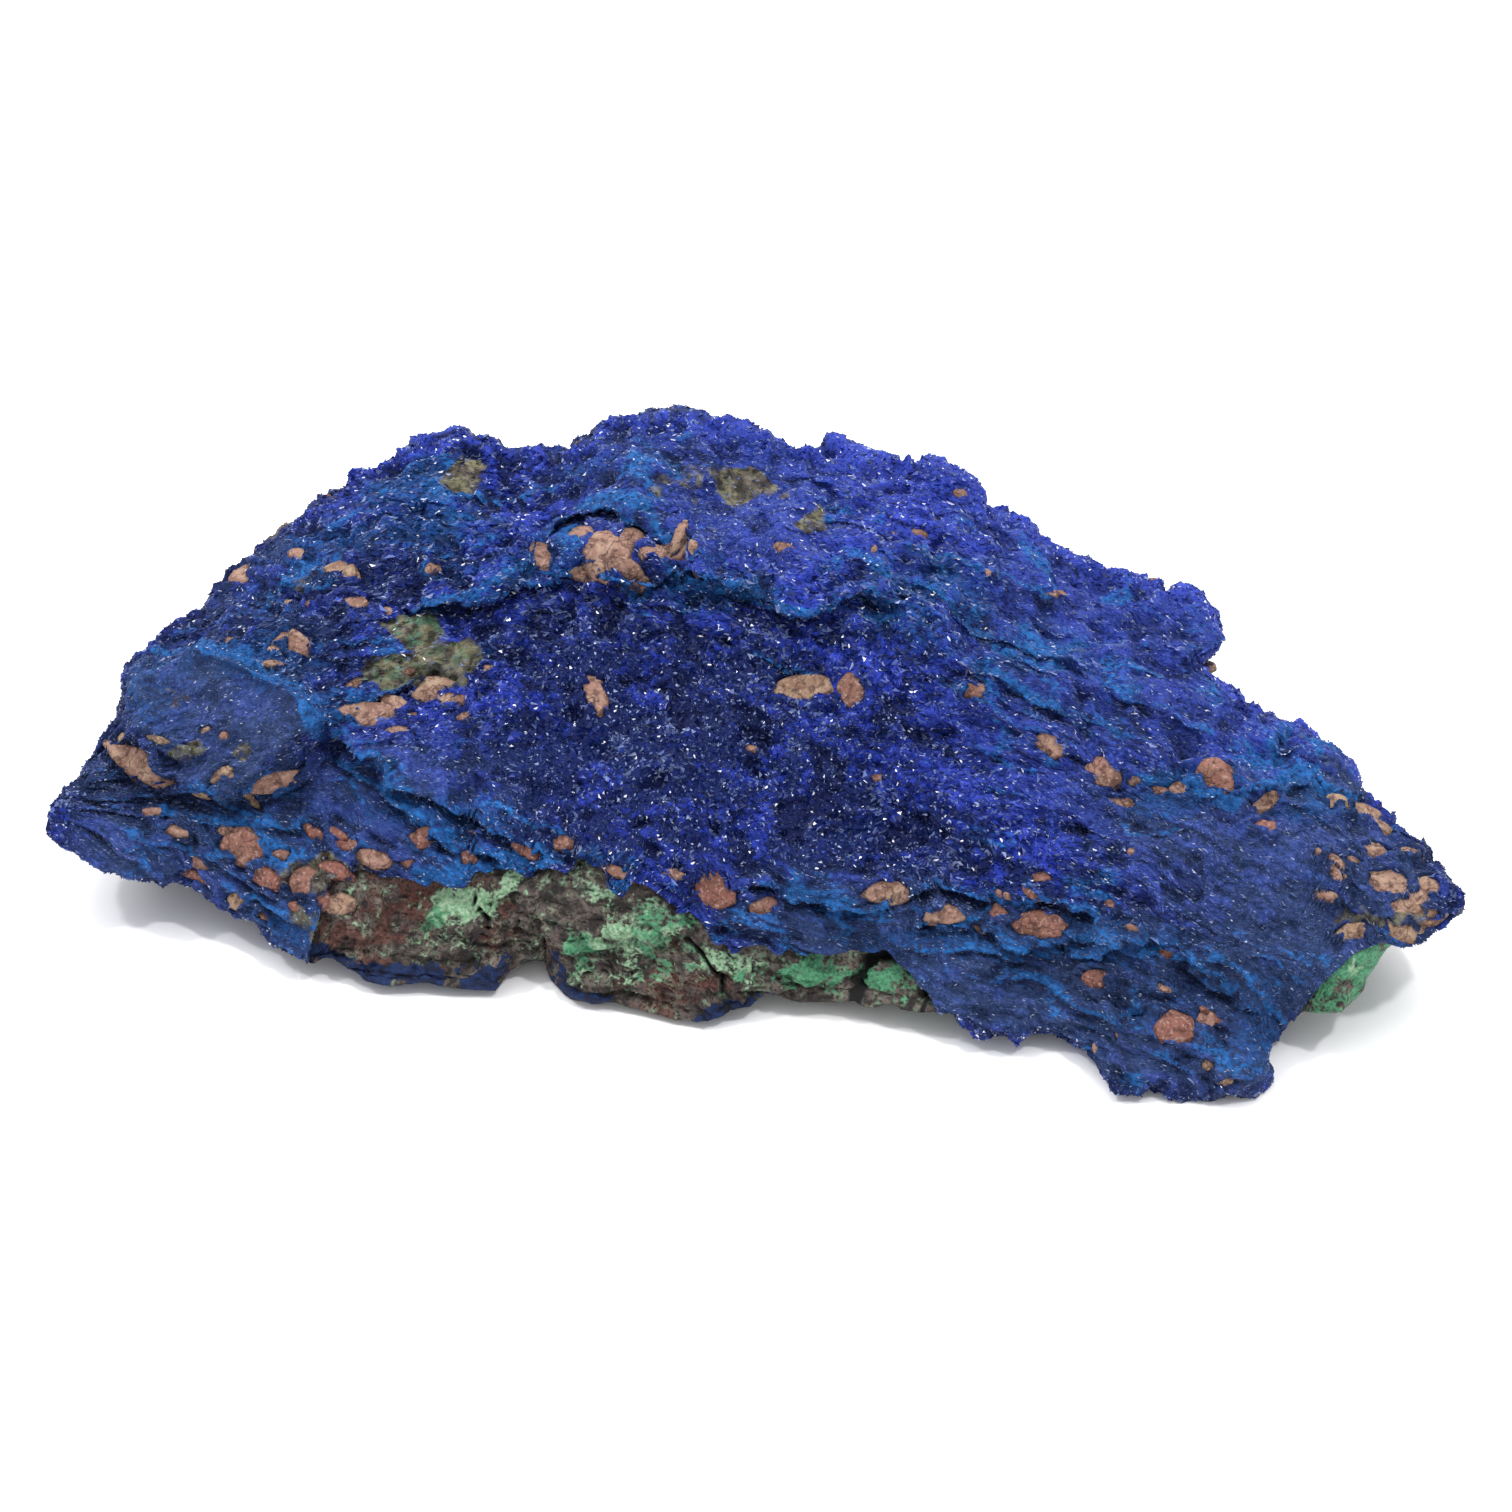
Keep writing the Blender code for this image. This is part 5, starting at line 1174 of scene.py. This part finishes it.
def azurite_colour(paint, lively):
    """Navy to violet by tone and painted hollow shade; azure where worn, chalky where dull, rock where it
    shows.
    """
    fine = paint.grain(2100.0, 2.0, 9.0).ramp(0.3, 0.7)
    strand = paint.fibres(0.42, 2.4, 3.0).ramp(0.3, 0.7)
    drawn = paint.look("fibre") + 0.4 * paint.look("chalk")
    tone_and_shade = paint.look("tone_and_shade") + 0.9 * paint.grain(420.0, 3.0, 3.0) - 0.45 + lively * (fine - 0.5)
    tone_and_shade = tone_and_shade + 0.5 * drawn * (strand - 0.5)
    blue = paint.mix(tone_and_shade.ramp(0.15, 0.55), NAVY, ULTRAMARINE)
    blue = paint.mix(tone_and_shade.ramp(0.5, 1.0), blue, VIOLET)
    blue = paint.mix(paint.look("chalk") * 0.7, blue, paint.mix(strand * fine, (0.019, 0.040, 0.098), CHALKY))
    patch = (paint.look("azure") * (0.35 + fine + 0.7 * strand)).ramp(0.25, 0.95)
    blue = paint.mix(patch * 0.85, blue, AZURE)
    worn = (paint.look("wear") * (0.2 + 0.9 * fine + 0.9 * strand)).ramp(0.2, 0.8)
    blue = paint.mix(worn * 0.9, blue, paint.mix(fine, AZURE, BLEACHED))
    cracks = paint.grain(1100.0, 4.0, 1.0)
    rock = paint.mix(paint.grain(620.0, 3.0, 6.0).ramp(0.4, 0.6), UMBER, OLIVE)
    rock = paint.mix(cracks.ramp(0.52, 0.6) * 0.6, rock, (0.21, 0.20, 0.15))
    green = paint.look("green") * paint.grain(1300.0, 3.0, 2.0).ramp(0.5, 0.58)
    rock = paint.mix(green, rock, (0.06, 0.17, 0.10))
    rock = paint.mix((1.0 - cracks).ramp(0.52, 0.62) * 0.75, rock, (0.018, 0.015, 0.011))
    shown = (paint.look("stain") + 0.7 * paint.grain(1200.0, 3.0, 4.0) - 0.35).ramp(0.36, 0.62)
    both = paint.mix(shown, blue, rock)
    return paint.mix(paint.look("shade") * 0.47, both, (0.001, 0.002, 0.014)), shown


def crust_material():
    paint = Paint("azurite_crust")
    colour, shown = azurite_colour(paint, 0.5)
    height = paint.grain(2600.0, 3.0, 7.0) + paint.fibres(0.2, 1.0, 8.0) * (0.3 + paint.look("fibre"))
    bump = paint.add("ShaderNodeBump", None, {"Strength": 0.9, "Distance": 0.0003, "Height": height})
    return paint.finish(Base_Color=colour, Roughness=0.6 + 0.3 * shown, Normal=bump, Specular_IOR_Level=0.12)


def druse_material():
    paint = Paint("azurite_druse")
    colour, _ = azurite_colour(paint, 0.25)
    tint_and_glint = paint.look("tint_and_glint")
    matte = 1.0 - paint.look("chalk") * 0.85
    # painted reflection: crystals whose random pick is high are mixed towards grey-blue, less so on chalky
    # crust
    colour = paint.mix(tint_and_glint.ramp(0.5, 0.95) * 0.6 * (0.5 * matte + 0.5), colour, (0.12, 0.165, 0.35))
    # painted sheen, grey-blue, where the crust's painted sheen look lies
    painted_sheen = (paint.look("painted_sheen") * (0.4 + tint_and_glint)).ramp(0.2, 1.0) * 0.6
    colour = paint.mix(painted_sheen * matte, colour, (0.15, 0.20, 0.38))
    dark = paint.mix(0.7, colour, (0.001, 0.003, 0.03))
    colour = paint.mix((tint_and_glint * 13.0).calc("FRACT").ramp(0.1, 0.6) + 0.6 * paint.look("chalk"), dark, colour)
    # painted highlights: a few crystals are paler blue-grey, and the highest few near white as painted
    # glints; less on chalky crust
    colour = paint.mix(tint_and_glint.ramp(0.92, 0.97) * 0.75 * matte, colour, (0.30, 0.36, 0.56))
    colour = paint.mix(tint_and_glint.ramp(0.991, 0.9915) * matte, colour, (0.90, 0.92, 0.96))
    dull = paint.look("chalk") * 0.3 + 0.35 * paint.look("wear")
    rough = (0.1 + 0.55 * (tint_and_glint * 7.0).calc("FRACT").ramp(0.3, 0.9) + dull).calc("MINIMUM", 0.9)
    return paint.finish(Base_Color=colour, Roughness=rough, Specular_IOR_Level=0.18)


def rock_material():
    paint = Paint("host_rock")
    fine, mid, tiny = (paint.grain(*k) for k in ((1500.0, 4.0, 1.0), (620.0, 3.0, 5.0), (3300.0, 2.0, 6.0)))
    broad = paint.grain(760.0, 5.0, 2.0).ramp(0.38, 0.62)
    stone = paint.mix(broad, (0.020, 0.016, 0.015), (0.105, 0.085, 0.074))
    rusted = (paint.look("rust") * (0.3 + 1.2 * fine)).ramp(0.4, 0.75)
    stone = paint.mix(rusted * 0.8, stone, (0.10, 0.036, 0.028))
    stone = paint.mix(mid.ramp(0.52, 0.64) * tiny.ramp(0.4, 0.6) * 0.55, stone, (0.19, 0.155, 0.13))
    stone = paint.mix((1.0 - tiny).ramp(0.48, 0.66) * 0.75, stone, (0.012, 0.010, 0.009))
    haze = (paint.look("film") * 0.6 + 1.6 * mid + 1.5 * fine - 1.48).ramp(0.1, 0.5) * tiny.ramp(0.3, 0.6)
    colour = paint.mix(haze * 0.8, stone, (0.13, 0.21, 0.135))
    film = (paint.look("film") + 1.8 * fine + 1.2 * mid + 0.8 * tiny - 1.95).ramp(0.25, 0.6)
    pale = (paint.look("pale") + 1.3 * paint.grain(1100.0, 3.0, 6.0) - 0.65).ramp(0.3, 0.6)
    deep = paint.mix(pale, (0.03, 0.15, 0.07), (0.14, 0.29, 0.155))
    bright = paint.mix(pale, (0.07, 0.25, 0.13), (0.31, 0.42, 0.29))
    green = paint.mix(tiny.ramp(0.35, 0.7), deep, bright)
    green = paint.mix((1.0 - fine).ramp(0.5, 0.7) * 0.6, green, (0.05, 0.075, 0.05))
    colour = paint.mix(film * 0.92, colour, green)
    blue = paint.mix(fine.ramp(0.35, 0.65), (0.003, 0.006, 0.024), (0.006, 0.019, 0.075))
    colour = paint.mix((paint.look("azure") + 1.4 * fine - 0.75).ramp(0.3, 0.5), colour, blue)
    colour = paint.mix(paint.look("shade").ramp(0.1, 1.0) * 0.97, colour, (0.003, 0.003, 0.004))
    height = fine + 0.5 * tiny
    bump = paint.add("ShaderNodeBump", None, {"Strength": 1.0, "Distance": 0.0004, "Height": height})
    return paint.finish(Base_Color=colour, Roughness=0.85 - 0.15 * film, Normal=bump, Specular_IOR_Level=0.3)


def clay_material():
    paint = Paint("clay")
    hue = paint.look("hue")
    tan = paint.mix(hue.ramp(0.0, 0.5), (0.25, 0.165, 0.105), (0.27, 0.155, 0.12))
    colour = paint.mix(hue.ramp(0.5, 1.0), tan, (0.195, 0.078, 0.062))
    mottle, broad = paint.grain(1500.0, 4.0, 8.0), paint.grain(420.0, 3.0, 12.0)
    sandy = paint.grain(700.0, 3.0, 5.0).ramp(0.45, 0.65) * (1.0 - hue)
    colour = paint.mix(sandy * 0.6, colour, (0.42, 0.32, 0.22))
    colour = paint.mix((1.0 - broad).ramp(0.45, 0.65) * 0.6, colour, (0.11, 0.048, 0.032))
    colour = paint.mix((1.0 - mottle).ramp(0.48, 0.66) * 0.75, colour, (0.07, 0.034, 0.028))
    colour = paint.mix(paint.grain(3000.0, 2.0, 9.0).ramp(0.54, 0.68) * 0.5, colour, (0.38, 0.26, 0.21))
    split = (paint.grain(330.0, 3.0, 15.0) - 0.5).calc("ABSOLUTE")
    colour = paint.mix((1.0 - split.ramp(0.003, 0.014)) * 0.6, colour, (0.03, 0.014, 0.012))
    # painted contact shade at the fragment's rim, a dark navy like crust creeping over its edge
    rim_shade_and_creep = (paint.look("rim") + 1.6 * paint.grain(1900.0, 3.0, 3.0) - 0.8).ramp(0.75, 0.9)
    colour = paint.mix(rim_shade_and_creep * 0.85, colour, (0.012, 0.016, 0.045))
    coarse = mottle + 0.5 * paint.grain(3800.0, 2.0, 2.0)
    bump = paint.add("ShaderNodeBump", None, {"Strength": 1.0, "Distance": 0.0004, "Height": coarse})
    return paint.finish(Base_Color=colour, Roughness=0.9, Normal=bump, Specular_IOR_Level=0.25)


CRUST, DRUSE_SKIN, ROCK, CLAY = crust_material(), druse_material(), rock_material(), clay_material()


def finished(piece, node, material):
    piece.data.materials.append(material)
    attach(piece, "root")
    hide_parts(node)
    return piece


# ---- the azurite and the rock ----
grid, grid_n, grid_looks = azurite_grid()
tips = outer(np.array([-HALF_LENGTH, HALF_LENGTH]), np.zeros(2))[0]
finished(looped("azurite_crust", grid, tips, grid_looks), "azurite_mass", CRUST)
rock, rock_looks = rock_grid()
finished(looped("host_rock_body", rock, rock[[0, -1]].mean(1), rock_looks), "host_rock", ROCK)


# ---- clay fragments ----
def fragment(place, proud, depth, seed, rows, cols):
    """A fragment in its bed, `proud` out of it and `depth` into it, and how near its rim each point is."""
    at, axes, width, height, _, bend = place
    half = (proud + depth) / 2
    wide, high = (k / 2 + min(0.175 * k, 0.55) for k in (width, height))
    p, faces = angular((wide, high, 1.25 * half), seed, rows, cols)
    out = np.hypot(p[:, 0] / width, p[:, 1] / height) * 2
    p[:, 2] += np.clip(fall(p) @ bend, *BEND_LIMITS) - min(1.2, 0.25 * width) * step01(out, 1.0, 1.4)
    rim = np.clip(out - 0.5, 0, 1)
    return at + axes[2] * (proud - half) + p @ axes, faces, rim


for seed, (node, *_, proud, depth, hue) in enumerate(placed):
    p, faces, rim = fragment(BEDS[seed], 0.45 * proud, depth, seed, 34, 44)
    piece = new_object(node + "_body", p, faces, True, {"hue": np.full(len(p), hue), "rim": rim})
    finished(piece, node, CLAY)

points, faces, looks, start = [], [], {"hue": [], "rim": []}, 0
for k, (*_, height, _, hue) in enumerate(chips):
    p, f, rim = fragment(BEDS[len(placed) + k], 0.3 + 0.08 * height, 0.9, 100 + k, 12, 14)
    points.append(p)
    faces.append(f + start)
    looks["hue"].append(np.full(len(p), np.clip(hue, 0, 1)))
    looks["rim"].append(rim)
    start += len(p)
looks = {key: np.concatenate(values) for key, values in looks.items()}
small = new_object("small_clasts", np.concatenate(points), np.concatenate(faces), True, looks)
finished(small, "azurite_mass", CLAY)


# ---- the druse ----
def strewn_crystals(rng, low, high, target, keep):
    """About `target` places on the grid's columns low to high, with the normal and the looks of each.
    Stained, bare and shaded crust has fewer, and chalky crust more. keep is the share that stays."""
    a, b = grid[:-1, low:high - 1], grid[:-1, low + 1:high]
    d, c = grid[1:, low:high - 1], grid[1:, low + 1:high]
    cross = np.cross(c - a, d - b) / 2
    area = np.linalg.norm(cross, axis=-1)
    looks = {k: (w[:-1, low:high - 1] + w[1:, low + 1:high]) / 2 for k, w in grid_looks.items()}
    here = area * (1 - 0.8 * step01(looks["stain"], 0.3, 0.9)) * (1 - 0.35 * looks["shade"])
    coarse = looks["coarse"] * (1 - looks["chalk"]) * (1 - 0.6 * looks["fibre"])
    here *= (1 + 0.9 * looks["chalk"]) * (1 - 0.9 * looks["bare"]) / (0.75 + 0.7 * coarse) ** 1.5
    here = here * keep
    here *= target / here.sum()
    count = np.floor(here + rng.uniform(0, 1, here.shape)).astype(int).ravel()
    cell = np.repeat(np.arange(count.size), count)
    u, w = rng.uniform(0, 1, (2, len(cell), 1))
    a, b, c, d = (k.reshape(-1, 3)[cell] for k in (a, b, c, d))
    at = (a * (1 - w) + b * w) * (1 - u) + (d * (1 - w) + c * w) * u
    n = (cross / np.maximum(area[..., None], 1e-9)).reshape(-1, 3)[cell]
    outward = grid_n[:-1, low:high - 1].reshape(-1, 3)[cell]
    outward = np.where(np.abs(outward).sum(1, keepdims=True) > 0, outward, [0.0, 0.0, -1.0])
    n = n * np.sign((n * outward).sum(1, keepdims=True) + 1e-9) + 0.3 * outward
    return at, n, {key: values.ravel()[cell] for key, values in looks.items()}


def crystals(name, low, high, target, size, seed, keep=1.0):
    """Wedge crystals over the grid's columns low to high: each has a ridge, and crossing it a keel below."""
    rng = np.random.default_rng(seed)
    at, n, looks = strewn_crystals(rng, low, high, target, keep)
    count, chalk, fibre = len(at), looks["chalk"], looks["fibre"]
    tilt = 0.34 - 0.12 * chalk - 0.08 * looks["wear"]
    n = n + rng.normal(0, 1, n.shape) * tilt[:, None]
    n /= np.linalg.norm(n, axis=1, keepdims=True)
    drift = np.array([1.0, 0, 0]) + looks["lie"][:, None] * UPSLOPE
    spin = rng.normal(0, 1, n.shape) + 3.0 * np.maximum(fibre, chalk)[:, None] * drift
    along = spin - n * (spin * n).sum(1, keepdims=True)
    along /= np.linalg.norm(along, axis=1, keepdims=True)
    s = size * np.exp(rng.normal(0, 0.35, count)) * (1 - 0.3 * chalk) * (1 - 0.3 * looks["wear"])
    s = s * (0.75 + 0.7 * looks["coarse"] * (1 - chalk) * (1 - 0.6 * fibre))
    # a random number for each crystal: its roughness, its darker or lighter tone, and at the top of its range
    # painted highlights and glints, whose crystals stay small
    tint_and_glint = rng.uniform(0, 1, count)
    s = np.where(tint_and_glint > 0.96, np.clip(s, 0.2, 0.32), np.minimum(s, 0.6))
    ridge = s * rng.uniform(0.8, 1.3, count) / 2 * (1 + 0.6 * fibre)
    keel = s * rng.uniform(0.7, 1.1, count) / 2 * (1 - 0.25 * fibre)
    tall, deep = s * rng.uniform(0.2, 0.5, count) * (1 - 0.5 * chalk), -0.25 * s
    skew, none = s * rng.uniform(-0.25, 0.25, count), 0 * s
    shape = np.array([(-ridge, skew, tall), (ridge, -skew, tall), (none, -keel, deep), (none, keel, deep)])
    frames = np.stack([along, np.cross(n, along), n], 1)
    points = (at[:, None] + np.einsum("ijk,kjl->kil", shape, frames)).reshape(-1, 3)
    points[:, 2] = np.maximum(points[:, 2], 0.0)
    faces = np.array([[0, 2, 1], [0, 1, 3], [0, 3, 2], [1, 2, 3]])
    k = np.arange(count)
    corner = (k[:, None, None] * 4 + faces[None]).reshape(-1, 3)
    side = int(np.ceil(np.sqrt(count)))
    cell_uv = np.stack([k % side, k // side], 1) / side
    spots = np.array([(0.1, 0.1), (0.9, 0.1), (0.5, 0.9), (0.5, 0.4)])
    uv = (cell_uv[:, None] + spots[None] / side)[:, faces].reshape(-1, 2)
    looks = {key: np.repeat(values, 4) for key, values in (looks | {"tint_and_glint": tint_and_glint}).items()}
    made = new_object(name, points, corner, False, looks, uv)
    return finished(made, "azurite_mass", DRUSE_SKIN)


open_ends = 1 - step01(parting(stations(STATIONS))[2][:-1, None], 0.0, 0.3)
for row in DRUSE:
    crystals(*row, keep=open_ends if row[0] == "druse_ends" else 1.0)


# ---- floor, light and camera ----
bpy.ops.mesh.primitive_plane_add(size=6)
floor = bpy.context.object
floor.name = "floor"
white = Paint("white_floor")
floor.data.materials.append(white.finish(Base_Color=(0.93, 0.93, 0.935, 1), Roughness=0.9))

world = bpy.data.worlds.new("studio")
bpy.context.scene.world = world
world.use_nodes = True
world.node_tree.nodes["Background"].inputs["Color"].default_value = (0.97, 0.98, 1.0, 1)
world.node_tree.nodes["Background"].inputs["Strength"].default_value = 1.1


def sun(name, towards, strength, degrees, colour=(1, 1, 1)):
    light = bpy.data.lights.new(name, "SUN")
    light.energy, light.angle, light.color = strength, math.radians(degrees), colour
    made = bpy.data.objects.new(name, light)
    made.rotation_mode = "QUATERNION"
    made.rotation_quaternion = Vector(towards).to_track_quat("Z", "Y")
    bpy.context.scene.collection.objects.link(made)


sun("overhead", (-0.10, 0.35, 1.0), 2.4, 90)
sun("glint_right", (0.35, -0.35, 1.0), 1.0, 4)
sun("glint_left", (-0.6, -0.1, 1.0), 0.8, 4)

camera_data = bpy.data.cameras.new("camera")
camera = bpy.data.objects.new("camera", camera_data)
bpy.context.scene.collection.objects.link(camera)
away = Vector((0, -COS, SIN))
camera.location = Vector((0, 0, PIVOT_Z * MM)) + Vector(SHIFT * MM) + away * CAMERA_AWAY
camera.rotation_mode = "QUATERNION"
camera.rotation_quaternion = (-away).to_track_quat("-Z", "Y")
camera_data.sensor_width = 36.0
camera_data.lens = CAMERA_LENS
camera_data.clip_end = 20.0
bpy.context.scene.camera = camera
bpy.context.scene.view_settings.view_transform = "Standard"
